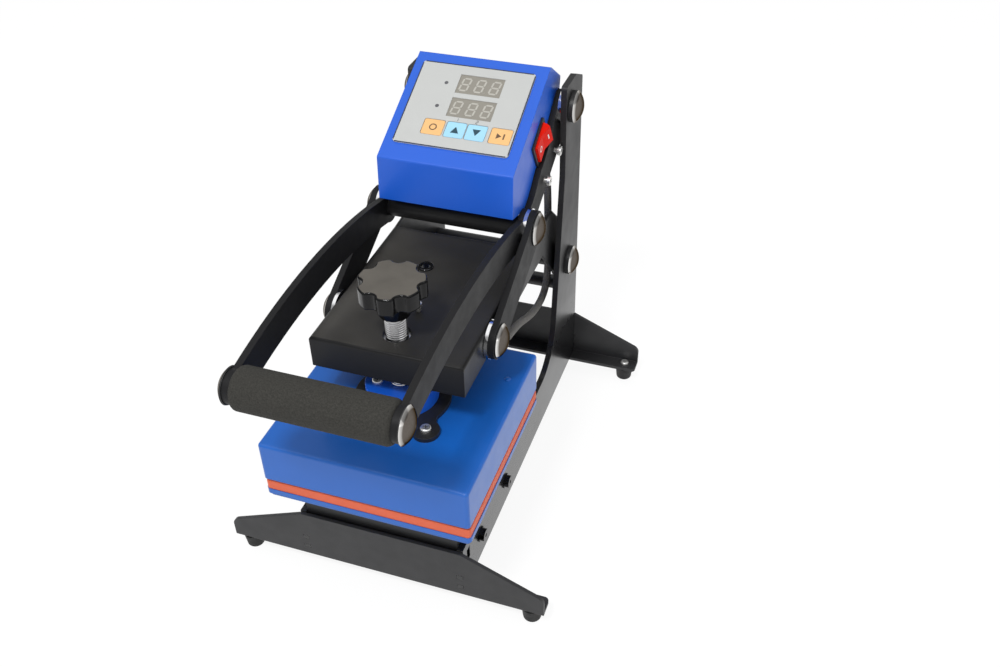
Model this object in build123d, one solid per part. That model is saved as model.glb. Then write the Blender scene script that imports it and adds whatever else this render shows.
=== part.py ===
"""Benchtop label heat press with a toggle lever, built as separate pieces.

Millimetres. X runs across the press (+X is the operator's right), Y runs from the
operator (-Y) to the back (+Y), and Z is up from the surface that the press stands on.
"""
import math
import os

from build123d import *

# Sheet and plate stock
PLATE_T = 5.0  # levers, links and side plates
FOOT_T = 3.0  # folded feet
SHEET_T = 1.5  # platen cover and control box
ARM_T = 3.0  # folded press arm
RUN_GAP = 0.1  # between faces that turn on each other
TURN_GAP = 0.05  # radial, shaft in hole
LOOSE_GAP = 0.4  # between parts that only pass each other
CUT_PAST = 1.0  # how far a cutting shape runs past the face it opens
NEAR = 0.1  # tolerance for picking an edge by its place

# Widths across the press
BOX_WIDTH = 111.0
ARM_WIDTH = 121.0
WASHER_T = 2.8
FOOT_LENGTH = 267.2

# Pivots, as (Y, Z)
UPPER_PIVOT = (160.5, 297.0)
REAR_PIVOT = (160.5, 146.0)
TOGGLE_PIVOT = (64.5, 237.0)
LINK_PIVOT = (-27.0, 195.0)
GRIP_AXIS = (-179.5, 243.5)

# Feet
RUBBER_H = 13.5
RUBBER_R = 8.6
RUBBER_LOW_R = 7.0
RUBBER_EDGE_R = 2.1
RUBBER_FROM_TIP = 11.6
FLANGE_DEPTH = 16.5
FOOT_FRONT_Y = -124.5
FOOT_REAR_Y = 194.8
FOOT_TOP_Z = 61.0
FOOT_TOP_HALF = 67.0
FOOT_TIP_Z = 32.0
FOOT_TIP_R = 7.5
FOOT_BEND_R = 2.0
FOOT_SCREW_R = 2.0
FOOT_SCREW_HEAD_R = 4.0
FOOT_SCREW_HEAD_H = 2.4
FOOT_SCREW_CROWN_R = 1.4

# Side plates
BAR_TOP_Z = 62.3
UPRIGHT_TOP_Z = 320.0
UPRIGHT_FRONT_Y = 144.5
UPRIGHT_KNEE_Z = 240.0
UPRIGHT_TOE_Y = 119.0
UPRIGHT_FILLET_R = 42.0
UPRIGHT_CHAMFER_Y = 20.0
UPRIGHT_CHAMFER_Z = 9.0
UPRIGHT_TOP_R = 3.0
TAB_ZS = (24.0, 34.5)
TAB_H = 3.6
TAB_GAP = 0.2
NOTCH_W = 6.0
NOTCH_H = 12.0
NOTCH_TOP_GAP = 8.0
NOTCH_BACK = 8.0
SIDE_BOLT_YS = (-82.5, -21.5)
SIDE_BOLT_Z = 40.0
BOLT_R = 3.0
BOLT_HEAD_R = 5.2
BOLT_HEAD_H = 3.2
BOLT_WASHER_R = 6.5
BOLT_WASHER_T = 1.2
BOLT_SOCKET_R = 1.8
BOLT_SOCKET_H = 1.8
BOLT_TIP = 2.0
CROSS_BAR_R = 6.5
CROSS_BAR_AT = (179.0, 105.0)

# Lower platen
PLATEN_Y = -58.6
PLATEN_WIDTH = 165.0
PLATEN_DEPTH = 162.0
PAD_INSET = 0.3
PAD_FRONT_INSET = 1.2
PLATE_INSET = 1.5
PLATE_FRONT_INSET = 2.6
LOWER_PLATE_Z = 92.7
LOWER_PLATE_T = 4.3
PAD_T = 12.0
PAD_CORNER_R = 2.5
PAD_EDGE_R = 1.5
CHANNEL_DEPTH = 122.0
CHANNEL_T = 3.0
CHANNEL_SKIRT_Z = 28.0

# Pivot shafts, collars and domed caps
SHAFT_R = 6.0
TUBE_R = 8.6
DOME_R = 13.3
DOME_H = 5.8
COLLAR_T = 4.0
RING_T = 1.0
RING_R = 13.0
WASHER_R = 15.5

# Lever plates
LEVER_WIDTH = 23.4
LEVER_CREST = (-71.5, 264.3)
LEVER_CREST_R = 522.0
GRIP_END_R = 12.2
UPPER_END_R = 12.6
TOGGLE_END_R = 14.6
SHOULDER = (20.0, 17.0)  # from the toggle pivot
HEEL_FRONT = (4.4, -13.9)  # from the toggle pivot
HEEL_BACK = (8.0, -26.5)  # from the upper pivot
HEEL_TOP = (-7.6, 10.1)  # from the upper pivot
NECK_OVERLAP = 2.0
GRIP_BAR_R = 9.0
FOAM_R = 15.3
FOAM_EDGE_R = 4.0
LINK_END_R = 14.6

# Press arm
ARM_FRONT_Y = -81.7
ARM_TOP_Z = 209.0
ARM_SKIRT = 26.7
ARM_TOP_REAR_Y = 75.5
ARM_BEND_R = 2.4
CHEEK_TOP_Z = 211.0
CHEEK_CORNER = (136.0, 211.0)
CHEEK_SHOULDER = (159.0, 190.0)
CHEEK_LOWER_Y = 108.0
CHEEK_END_R = 16.0
CHEEK_LOWER_DEG = 240.0
CHEEK_CORNER_R = 4.0
STEM_HOLE_R = 10.6
GROMMET_AT = (-12.0, 27.3)
GROMMET_R = 6.4
GROMMET_NECK_R = 5.0
GROMMET_BORE_R = 4.0
GROMMET_H = 1.5
GROMMET_EDGE_R = 0.9
LOCK_SCREW_AT = (4.2, -27.7)
LOCK_SCREW_R = 2.0
LOCK_SCREW_H = 7.0
LOCK_HEAD_R = 3.0
LOCK_HEAD_H = 2.6

# Threaded stem and knob
STEM_R = 8.6
SPIGOT_R = 5.0
RETAINER_R = 9.0
KNOB_TOP_Z = 258.0
KNOB_R = 25.2
KNOB_LOBES = 7
KNOB_BITE_R = 5.5
KNOB_BITE_AT_R = 26.5
KNOB_LOBE_EDGE_R = 3.0
KNOB_TURN = -2.0
KNOB_LOBE_H = 15.0
KNOB_HUB_TOP_R = 14.0
KNOB_HUB_R = 11.8
KNOB_HUB_Z = 228.0
KNOB_HUB_EDGE_R = 1.6
KNOB_EDGE_R = 1.6
BUSH_R = 15.0
BUSH_H = 14.0

# Upper platen
COVER_TOP_Z = 147.0
COVER_H = 34.9
COVER_EDGE_R = 3.0
COVER_BEND_R = 2.4
HEAT_PLATE_EDGE_R = 1.4
HEAT_PLATE_T = 16.0
INSULATION_T = 8.0
PAD_TOUCH_GAP = 0.3
SPIDER_T = 3.6
SPIDER_HUB_R = 37.5
SPIDER_BOLT_R = 44.6
SPIDER_LOBE_R = 10.5
SPIDER_FILLET_R = 8.0
SPIDER_BORE_R = 12.0
DISC_R = 27.8
DISC_T = 14.4
DISC_EDGE_R = 0.6
DISC_SCREWS = 3
DISC_SCREW_AT_R = 18.0
DISC_SCREW_DEG = 84.0
HEAD_SCREW_R = 2.0
HEAD_SCREW_HEAD_R = 4.2
HEAD_SCREW_HEAD_H = 2.6
HEAD_SCREW_CROWN_R = 1.3

# Control box, side profile points as (Y, Z)
BOX_FRONT_LOW = (44.3, 255.0)
BOX_BEND = (47.0, 290.6)
BOX_CREST = (143.1, 336.5)
BOX_REAR_TOP = (170.3, 317.5)
BOX_REAR_LOW = (157.5, 262.0)
BOX_HEEL = (100.0, 240.5)
BOX_EDGE_R = 2.0
BOX_SCREWS = ((109.3, 255.0), (138.4, 267.0))
BOX_SCREW_R = 2.0
BOX_SCREW_HEAD_R = 3.9
BOX_SCREW_HEAD_H = 2.4
BOX_SCREW_STAND_OFF = 3.4
BOX_SCREW_TIP = 3.0

# Panel on the slope, measured across and up the slope from the bend
LABEL_X = (-48.2, 46.6)
LABEL_S = (15.5, 96.7)
LABEL_T = 1.2
LABEL_CORNER_R = 3.0
DISPLAY_X = (-13.3, 23.8)
DISPLAY_S = (45.8, 68.9)
DISPLAY_W = 37.0
DISPLAY_H = 18.5
DISPLAY_T = 7.0
DISPLAY_RISE = 0.5
LED_AT = ((-22.8, 77.4), (-23.2, 54.2))
LED_R = 1.6
KEY_XS = (-19.8, -1.5, 15.5, 35.5)
KEY_S = 33.8
KEY_WIDTHS = (17.0, 16.0, 16.0, 17.0)
KEY_DEPTH = 14.5
KEY_CORNER_R = 1.5
KEY_GAP = 0.3
KEY_FLOOR_GAP = 0.6
KEY_EDGE_R = 0.3
BOARD_T = 1.6
BOARD_POST_R = 2.0

# Rocker switch on the right side of the box
ROCKER_AT = (111.0, 287.5)
ROCKER_TILT = 29.7
ROCKER_L = 25.0
ROCKER_W = 19.0
BEZEL_L = 31.0
BEZEL_W = 25.0
BEZEL_T = 1.8
BEZEL_R = 1.5
ROCKER_DEPTH = 6.0
ROCKER_CROWN = 7.4
ROCKER_LOW = 1.9
ROCKER_GAP = 0.35
ROCKER_PIVOT_H = 0.2
ROCKER_PIN_R = 1.0
ROCKER_PIN_L = 0.9
HOUSING_WALL = 1.2
HOUSING_DEPTH = 10.6
NOTCH_GAP = 1.0

# Heater lead, as (X, Y, Z) corners
LEAD_R = 3.3
LEAD_CORNERS = (
    (48.4, 150.6, 248.0),
    (49.6, 156.6, 232.0),
    (53.0, 148.5, 175.0),
    (53.6, 148.0, 138.0),
    (52.2, 140.0, 116.0),
    (49.5, 112.0, 113.5),
    (46.0, 72.0, 129.5),
)
LEAD_END = (44.0, 130.5)
LEAD_BEND_SHARE = 0.45
GLAND_R = 4.8
GLAND_H = 9.0
GLAND_NUT_R = 5.0
GLAND_HEX_R = 6.0

# Derived widths
BOX_HALF = BOX_WIDTH / 2
LEVER_IN = BOX_HALF
LEVER_OUT = LEVER_IN + PLATE_T
ARM_HALF = ARM_WIDTH / 2
SIDE_IN = LEVER_OUT + WASHER_T + 2 * RUN_GAP
SIDE_OUT = SIDE_IN + PLATE_T
SIDES = (-1, 1)
ON_BASE = (Align.CENTER, Align.CENTER, Align.MIN)

# Derived heights
FLANGE_TOP_Z = RUBBER_H + FOOT_T
PAD_TOP_Z = LOWER_PLATE_Z + LOWER_PLATE_T + PAD_T
COVER_LOW_Z = COVER_TOP_Z - COVER_H
HEAT_PLATE_Z = PAD_TOP_Z + PAD_TOUCH_GAP
SPIDER_TOP_Z = COVER_TOP_Z + SPIDER_T
DISC_TOP_Z = SPIDER_TOP_Z + DISC_T
ARM_LOW_Z = ARM_TOP_Z - ARM_SKIRT
PLATEN_REAR_Y = PLATEN_Y + PLATEN_DEPTH / 2
LEAD_ROUTE = LEAD_CORNERS + ((LEAD_END[0], PLATEN_REAR_Y + GLAND_H + LOOSE_GAP, LEAD_END[1]),)

SLOPE_RUN = BOX_CREST[0] - BOX_BEND[0]
SLOPE_RISE = BOX_CREST[1] - BOX_BEND[1]
SLOPE = Plane(
    origin=(0, BOX_BEND[0], BOX_BEND[1]),
    x_dir=(1, 0, 0),
    z_dir=(0, -SLOPE_RISE, SLOPE_RUN),
)
OUT_OF_SLOPE = Axis(SLOPE.origin, SLOPE.z_dir)

BOARD_DROP = DISPLAY_T + DISPLAY_RISE - LABEL_T
LED_H = LABEL_T + BOARD_DROP
KEY_T = LED_H - KEY_FLOOR_GAP
BOARD_HALF = BOX_HALF - HOUSING_DEPTH - LOOSE_GAP
RUBBER_X = FOOT_LENGTH / 2 - RUBBER_FROM_TIP

os.makedirs("parts", exist_ok=True)


def across(sketch, x_low, x_high):
    """A side profile, drawn as (Y, Z), made solid from x_low to x_high."""
    return extrude(Plane.YZ.offset(x_low) * sketch, amount=x_high - x_low, dir=(1, 0, 0))


def on_side(sketch, side, x_in, x_out):
    """A side profile made solid between two distances from the middle, on one side."""
    if side > 0:
        return across(sketch, x_in, x_out)
    return across(sketch, -x_out, -x_in)


def both_sides(sketch, x_in, x_out):
    """The same solid on the left and on the right."""
    return [on_side(sketch, side, x_in, x_out) for side in SIDES]


def disc(at, radius):
    """A round side profile at a (Y, Z) point."""
    return Pos(*at) * Circle(radius)


def upright_rod(x, y, z_low, z_high, radius):
    """A round bar along Z."""
    return Pos(x, y, z_low) * extrude(Circle(radius), amount=z_high - z_low)


def slab(x_size, y_size, z_low, z_high, y_mid, corner_r):
    """A flat plate with round corners, centred across the press."""
    outline = Pos(0, y_mid) * RectangleRounded(x_size, y_size, corner_r)
    return Pos(0, 0, z_low) * extrude(outline, amount=z_high - z_low)


def ring(at, r_out, r_in, side, x_in, x_out):
    """A washer, collar or tube round a pivot."""
    return on_side(disc(at, r_out) - disc(at, r_in), side, x_in, x_out)


def dome(at, side, x_base):
    """A domed cap whose rim sits at x_base."""
    ball_r = (DOME_R**2 + DOME_H**2) / (2 * DOME_H)
    rim_angle = math.degrees(math.asin((ball_r - DOME_H) / ball_r))
    cap = Sphere(ball_r, arc_size1=rim_angle, align=ON_BASE)
    return Plane(origin=(side * x_base, *at), z_dir=(side, 0, 0)) * cap


def group(solids):
    """Separate solids kept in one node."""
    return Compound(children=list(solids))


def save(name, shape):
    """Writes one piece."""
    export_step(shape, f"parts/{name}.step")


# Feet
def foot_blank(y_face, inward):
    """An L-section foot whose upright face stands at y_face."""
    half = FOOT_LENGTH / 2
    outline = Polygon(
        (-half, RUBBER_H),
        (half, RUBBER_H),
        (half, FOOT_TIP_Z),
        (FOOT_TOP_HALF, FOOT_TOP_Z),
        (-FOOT_TOP_HALF, FOOT_TOP_Z),
        (-half, FOOT_TIP_Z),
        align=None,
    )
    tips = outline.vertices().filter_by(lambda v: abs(v.Y - FOOT_TIP_Z) < NEAR)
    outline = fillet(tips, FOOT_TIP_R)
    face_plane = Plane(origin=(0, y_face, 0), x_dir=(1, 0, 0), z_dir=(0, -1, 0))
    upright = extrude(face_plane * outline, amount=-inward * FOOT_T)
    flange = Pos(0, y_face + inward * FLANGE_DEPTH / 2, RUBBER_H) * extrude(
        RectangleRounded(FOOT_LENGTH, FLANGE_DEPTH, FOOT_TIP_R / 2), amount=FOOT_T
    )
    square_half = Pos(0, y_face + inward * FLANGE_DEPTH / 4, RUBBER_H) * extrude(
        Rectangle(FOOT_LENGTH, FLANGE_DEPTH / 2), amount=FOOT_T
    )
    blank = upright + flange + square_half
    bend = blank.edges().filter_by(Axis.X).filter_by(
        lambda e: abs(e.center().Y - y_face) < NEAR and abs(e.center().Z - RUBBER_H) < NEAR
    )
    return fillet(bend, FOOT_BEND_R)


def tab_profile(y_low, y_high, extra):
    """The side plate's tabs, or the slots for them, as a side profile."""
    profile = Sketch()
    for z in TAB_ZS:
        size = (y_high - y_low, TAB_H + 2 * extra)
        profile += Pos((y_low + y_high) / 2, z) * Rectangle(*size)
    return profile


def foot_screw_spots():
    """Middles of the four rubber feet."""
    front = FOOT_FRONT_Y + FLANGE_DEPTH / 2
    rear = FOOT_REAR_Y - FLANGE_DEPTH / 2
    return [(x * RUBBER_X, y) for x in SIDES for y in (front, rear)]


def make_feet():
    front = foot_blank(FOOT_FRONT_Y, 1)
    rear = foot_blank(FOOT_REAR_Y, -1)
    for side in SIDES:
        slots = tab_profile(FOOT_FRONT_Y - CUT_PAST, FOOT_FRONT_Y + FOOT_T + CUT_PAST, TAB_GAP)
        front -= on_side(slots, side, SIDE_IN - TAB_GAP, SIDE_OUT + TAB_GAP)
        slots = tab_profile(FOOT_REAR_Y - FOOT_T - CUT_PAST, FOOT_REAR_Y + CUT_PAST, TAB_GAP)
        rear -= on_side(slots, side, SIDE_IN - TAB_GAP, SIDE_OUT + TAB_GAP)
    rubbers = []
    screws = []
    for x, y in foot_screw_spots():
        hole = upright_rod(x, y, RUBBER_H - CUT_PAST, FLANGE_TOP_Z + CUT_PAST, FOOT_SCREW_R + TURN_GAP)
        front -= hole
        rear -= hole
        rubber = Pos(x, y) * Cone(RUBBER_LOW_R, RUBBER_R, RUBBER_H, align=ON_BASE)
        rubber = fillet(rubber.edges().sort_by(Axis.Z)[0], RUBBER_EDGE_R)
        rubbers.append(rubber - upright_rod(x, y, RUBBER_H / 2, RUBBER_H + CUT_PAST, FOOT_SCREW_R))
        shank = upright_rod(x, y, RUBBER_H / 2, FLANGE_TOP_Z, FOOT_SCREW_R)
        head = upright_rod(x, y, FLANGE_TOP_Z, FLANGE_TOP_Z + FOOT_SCREW_HEAD_H, FOOT_SCREW_HEAD_R)
        head = fillet(head.edges().sort_by(Axis.Z)[-1], FOOT_SCREW_CROWN_R)
        screws.append(shank + head)
    save("front_foot", front)
    save("rear_foot", rear)
    save("rubber_feet", group(rubbers))
    save("foot_screws", group(screws))


# Side plates, each an upright and a long foot bar cut from one plate
def side_plate_profile():
    front_y = FOOT_FRONT_Y + FOOT_T
    rear_y = FOOT_REAR_Y - FOOT_T
    outline = Polygon(
        (front_y, FLANGE_TOP_Z),
        (rear_y, FLANGE_TOP_Z),
        (rear_y, UPRIGHT_TOP_Z - UPRIGHT_CHAMFER_Z),
        (rear_y - UPRIGHT_CHAMFER_Y, UPRIGHT_TOP_Z),
        (UPRIGHT_FRONT_Y, UPRIGHT_TOP_Z),
        (UPRIGHT_FRONT_Y, UPRIGHT_KNEE_Z),
        (UPRIGHT_TOE_Y, BAR_TOP_Z),
        (front_y, BAR_TOP_Z),
        align=None,
    )
    corner = outline.vertices().sort_by_distance((UPRIGHT_TOE_Y, BAR_TOP_Z))[0]
    outline = fillet(corner, UPRIGHT_FILLET_R)
    top = outline.vertices().filter_by(lambda v: v.Y > UPRIGHT_TOP_Z - UPRIGHT_CHAMFER_Z - NEAR)
    outline = fillet(top, UPRIGHT_TOP_R)
    notch_z = BAR_TOP_Z - NOTCH_TOP_GAP - NOTCH_H / 2
    outline -= Pos(front_y + NOTCH_BACK + NOTCH_W / 2, notch_z) * Rectangle(NOTCH_W, NOTCH_H)
    for pivot in (UPPER_PIVOT, REAR_PIVOT):
        outline -= disc(pivot, SHAFT_R + TURN_GAP)
    for y in SIDE_BOLT_YS:
        outline -= disc((y, SIDE_BOLT_Z), BOLT_R + TURN_GAP)
    outline += tab_profile(front_y - FOOT_T, front_y, 0)
    outline += tab_profile(rear_y, rear_y + FOOT_T, 0)
    return outline


def make_side_plates():
    profile = side_plate_profile()
    save("side_plate_left", on_side(profile, -1, SIDE_IN, SIDE_OUT))
    save("side_plate_right", on_side(profile, 1, SIDE_IN, SIDE_OUT))
    save("rear_cross_bar", across(disc(CROSS_BAR_AT, CROSS_BAR_R), -SIDE_IN, SIDE_IN))


def side_bolt(y, side):
    """A button-head screw with its washer, driven in from outside."""
    at = (y, SIDE_BOLT_Z)
    head_x = SIDE_OUT + BOLT_WASHER_T
    shank = on_side(disc(at, BOLT_R), side, SIDE_IN - CHANNEL_T - BOLT_TIP, SIDE_OUT)
    washer = on_side(disc(at, BOLT_WASHER_R), side, SIDE_OUT, head_x)
    head = on_side(disc(at, BOLT_HEAD_R), side, head_x, head_x + BOLT_HEAD_H)
    socket = Pos(*at) * RegularPolygon(BOLT_SOCKET_R, 6)
    tip_x = head_x + BOLT_HEAD_H
    return shank + washer + head - on_side(socket, side, tip_x - BOLT_SOCKET_H, tip_x + CUT_PAST)


# Lower platen on its folded channel
def inset_slab(inset, front_inset, z_low, z_high):
    """A plate as large as the platen, drawn in at its sides and rear and at its front."""
    depth = PLATEN_DEPTH - inset - front_inset
    middle = PLATEN_Y + (front_inset - inset) / 2
    return slab(PLATEN_WIDTH - 2 * inset, depth, z_low, z_high, middle, PAD_CORNER_R)


def make_lower_platen():
    plate_top = LOWER_PLATE_Z + LOWER_PLATE_T
    plate = inset_slab(PLATE_INSET, PLATE_FRONT_INSET, LOWER_PLATE_Z, plate_top)
    save("lower_platen", plate)
    pad = inset_slab(PAD_INSET, PAD_FRONT_INSET, plate_top, PAD_TOP_Z)
    save("silicone_pad", fillet(pad.edges().group_by(Axis.Z)[-1], PAD_EDGE_R))

    skirt_h = LOWER_PLATE_Z - CHANNEL_SKIRT_Z
    seat = Pos(0, PLATEN_Y, CHANNEL_SKIRT_Z)
    inner = Rectangle(2 * SIDE_IN - 2 * CHANNEL_T, CHANNEL_DEPTH - 2 * CHANNEL_T)
    channel = seat * extrude(Rectangle(2 * SIDE_IN, CHANNEL_DEPTH), amount=skirt_h)
    channel -= seat * extrude(inner, amount=skirt_h - CHANNEL_T)
    bolts = []
    for y in SIDE_BOLT_YS:
        for side in SIDES:
            hole = disc((y, SIDE_BOLT_Z), BOLT_R)
            channel -= on_side(hole, side, SIDE_IN - CHANNEL_T - CUT_PAST, SIDE_IN + CUT_PAST)
            bolts.append(side_bolt(y, side))
    save("base_channel", channel)
    save("side_bolts", group(bolts))


# Lever: two bent plates, the grip between them and the pins that carry them
def crest_z(y, lift):
    """Height of the lever's arched edge at y, lowered by lift."""
    offset = y - LEVER_CREST[0]
    return LEVER_CREST[1] - lift - LEVER_CREST_R + math.sqrt(LEVER_CREST_R**2 - offset**2)


def lever_profile():
    grip_y = GRIP_AXIS[0]
    toggle_y = TOGGLE_PIVOT[0]
    crest_y = LEVER_CREST[0]
    top_front = (grip_y, crest_z(grip_y, 0))
    top_mid = (crest_y, LEVER_CREST[1])
    top_back = (toggle_y, crest_z(toggle_y, 0))
    low_back = (toggle_y, crest_z(toggle_y, LEVER_WIDTH))
    low_mid = (crest_y, LEVER_CREST[1] - LEVER_WIDTH)
    low_front = (grip_y, crest_z(grip_y, LEVER_WIDTH))
    outline = ThreePointArc(low_front, low_mid, low_back)
    outline += Line(low_back, top_back)
    outline += ThreePointArc(top_back, top_mid, top_front)
    outline += Line(top_front, low_front)
    profile = make_face(outline)
    profile += disc(GRIP_AXIS, GRIP_END_R)
    profile += disc(TOGGLE_PIVOT, TOGGLE_END_R)
    upper_y, upper_z = UPPER_PIVOT
    toggle_z = TOGGLE_PIVOT[1]
    profile += Polygon(
        (toggle_y + HEEL_FRONT[0], toggle_z + HEEL_FRONT[1]),
        (upper_y + HEEL_BACK[0], upper_z + HEEL_BACK[1]),
        (upper_y + UPPER_END_R, upper_z),
        (upper_y + HEEL_TOP[0], upper_z + HEEL_TOP[1]),
        (toggle_y + SHOULDER[0], toggle_z + SHOULDER[1]),
        (toggle_y, top_back[1] - NECK_OVERLAP),
        align=None,
    )
    profile += disc(UPPER_PIVOT, UPPER_END_R)
    for at in (UPPER_PIVOT, TOGGLE_PIVOT):
        profile -= disc(at, SHAFT_R)
    for at in BOX_SCREWS:
        profile -= disc(at, BOX_SCREW_R)
    profile -= disc(GRIP_AXIS, SHAFT_R)
    return profile


def make_lever():
    profile = lever_profile()
    save("lever_left", on_side(profile, -1, LEVER_IN, LEVER_OUT))
    notch = Rectangle(BEZEL_L + 2 * NOTCH_GAP, BEZEL_W + 2 * NOTCH_GAP)
    notch = Pos(*ROCKER_AT) * Rot(0, 0, ROCKER_TILT) * notch
    save("lever_right", on_side(profile - notch, 1, LEVER_IN, LEVER_OUT))
    bar = across(disc(GRIP_AXIS, GRIP_BAR_R), -LEVER_IN, LEVER_IN)
    bar += across(disc(GRIP_AXIS, SHAFT_R), -LEVER_OUT - RING_T, LEVER_OUT + RING_T)
    save("grip_bar", bar)
    foam = across(disc(GRIP_AXIS, FOAM_R), -LEVER_IN, LEVER_IN)
    foam = fillet(foam.edges().filter_by(GeomType.CIRCLE), FOAM_EDGE_R)
    save("foam_grip", foam - across(disc(GRIP_AXIS, GRIP_BAR_R), -LEVER_OUT, LEVER_OUT))

    pins = both_sides(disc(UPPER_PIVOT, SHAFT_R), LEVER_IN, SIDE_OUT + COLLAR_T)
    save("upper_pivot_pins", group(pins))
    shaft_out = SIDE_OUT + RUN_GAP + RING_T
    save("toggle_shaft", across(disc(TOGGLE_PIVOT, SHAFT_R), -shaft_out, shaft_out))
    tube = disc(TOGGLE_PIVOT, TUBE_R) - disc(TOGGLE_PIVOT, SHAFT_R)
    save("toggle_tube", across(tube, -LEVER_IN, LEVER_IN))

    washers = []
    rings = []
    domes = []
    for side in SIDES:
        for at in (UPPER_PIVOT, TOGGLE_PIVOT):
            washers.append(ring(at, WASHER_R, SHAFT_R, side, LEVER_OUT, SIDE_IN - 2 * RUN_GAP))
        rings.append(ring(UPPER_PIVOT, RING_R, SHAFT_R, side, SIDE_OUT + RUN_GAP, SIDE_OUT + COLLAR_T))
        rings.append(ring(TOGGLE_PIVOT, RING_R, SHAFT_R, side, SIDE_OUT + RUN_GAP, shaft_out))
        rings.append(ring(GRIP_AXIS, RING_R, SHAFT_R, side, LEVER_OUT, LEVER_OUT + RING_T))
        domes.append(dome(UPPER_PIVOT, side, SIDE_OUT + COLLAR_T))
        domes.append(dome(TOGGLE_PIVOT, side, shaft_out))
        domes.append(dome(GRIP_AXIS, side, LEVER_OUT + RING_T))
    save("lever_washers", group(washers))
    save("lever_collars", group(rings))
    save("lever_cap_domes", group(domes))


# Links between the lever and the arm
def make_links():
    bar = Polygon(*link_corners(), align=None)
    bar += disc(TOGGLE_PIVOT, LINK_END_R)
    bar += disc(LINK_PIVOT, LINK_END_R)
    bar -= disc(TOGGLE_PIVOT, SHAFT_R + TURN_GAP)
    bar -= disc(LINK_PIVOT, SHAFT_R)
    save("toggle_links", group(both_sides(bar, SIDE_IN, SIDE_OUT)))
    pin_in = ARM_HALF + LOOSE_GAP
    cap_x = SIDE_OUT + RING_T
    save("link_pins", group(both_sides(disc(LINK_PIVOT, SHAFT_R), pin_in, cap_x)))
    washer = disc(LINK_PIVOT, WASHER_R) - disc(LINK_PIVOT, SHAFT_R)
    save("link_washers", group(both_sides(washer, pin_in, SIDE_IN)))
    rings = [ring(LINK_PIVOT, RING_R, SHAFT_R, side, SIDE_OUT, cap_x) for side in SIDES]
    save("link_collars", group(rings))
    save("link_cap_domes", group([dome(LINK_PIVOT, side, cap_x) for side in SIDES]))


def link_corners():
    """Where the link's straight sides meet its round ends."""
    run = LINK_PIVOT[0] - TOGGLE_PIVOT[0]
    rise = LINK_PIVOT[1] - TOGGLE_PIVOT[1]
    length = math.hypot(run, rise)
    side_y = -rise / length * LINK_END_R
    side_z = run / length * LINK_END_R
    return [
        (TOGGLE_PIVOT[0] - side_y, TOGGLE_PIVOT[1] - side_z),
        (LINK_PIVOT[0] - side_y, LINK_PIVOT[1] - side_z),
        (LINK_PIVOT[0] + side_y, LINK_PIVOT[1] + side_z),
        (TOGGLE_PIVOT[0] + side_y, TOGGLE_PIVOT[1] + side_z),
    ]


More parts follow.
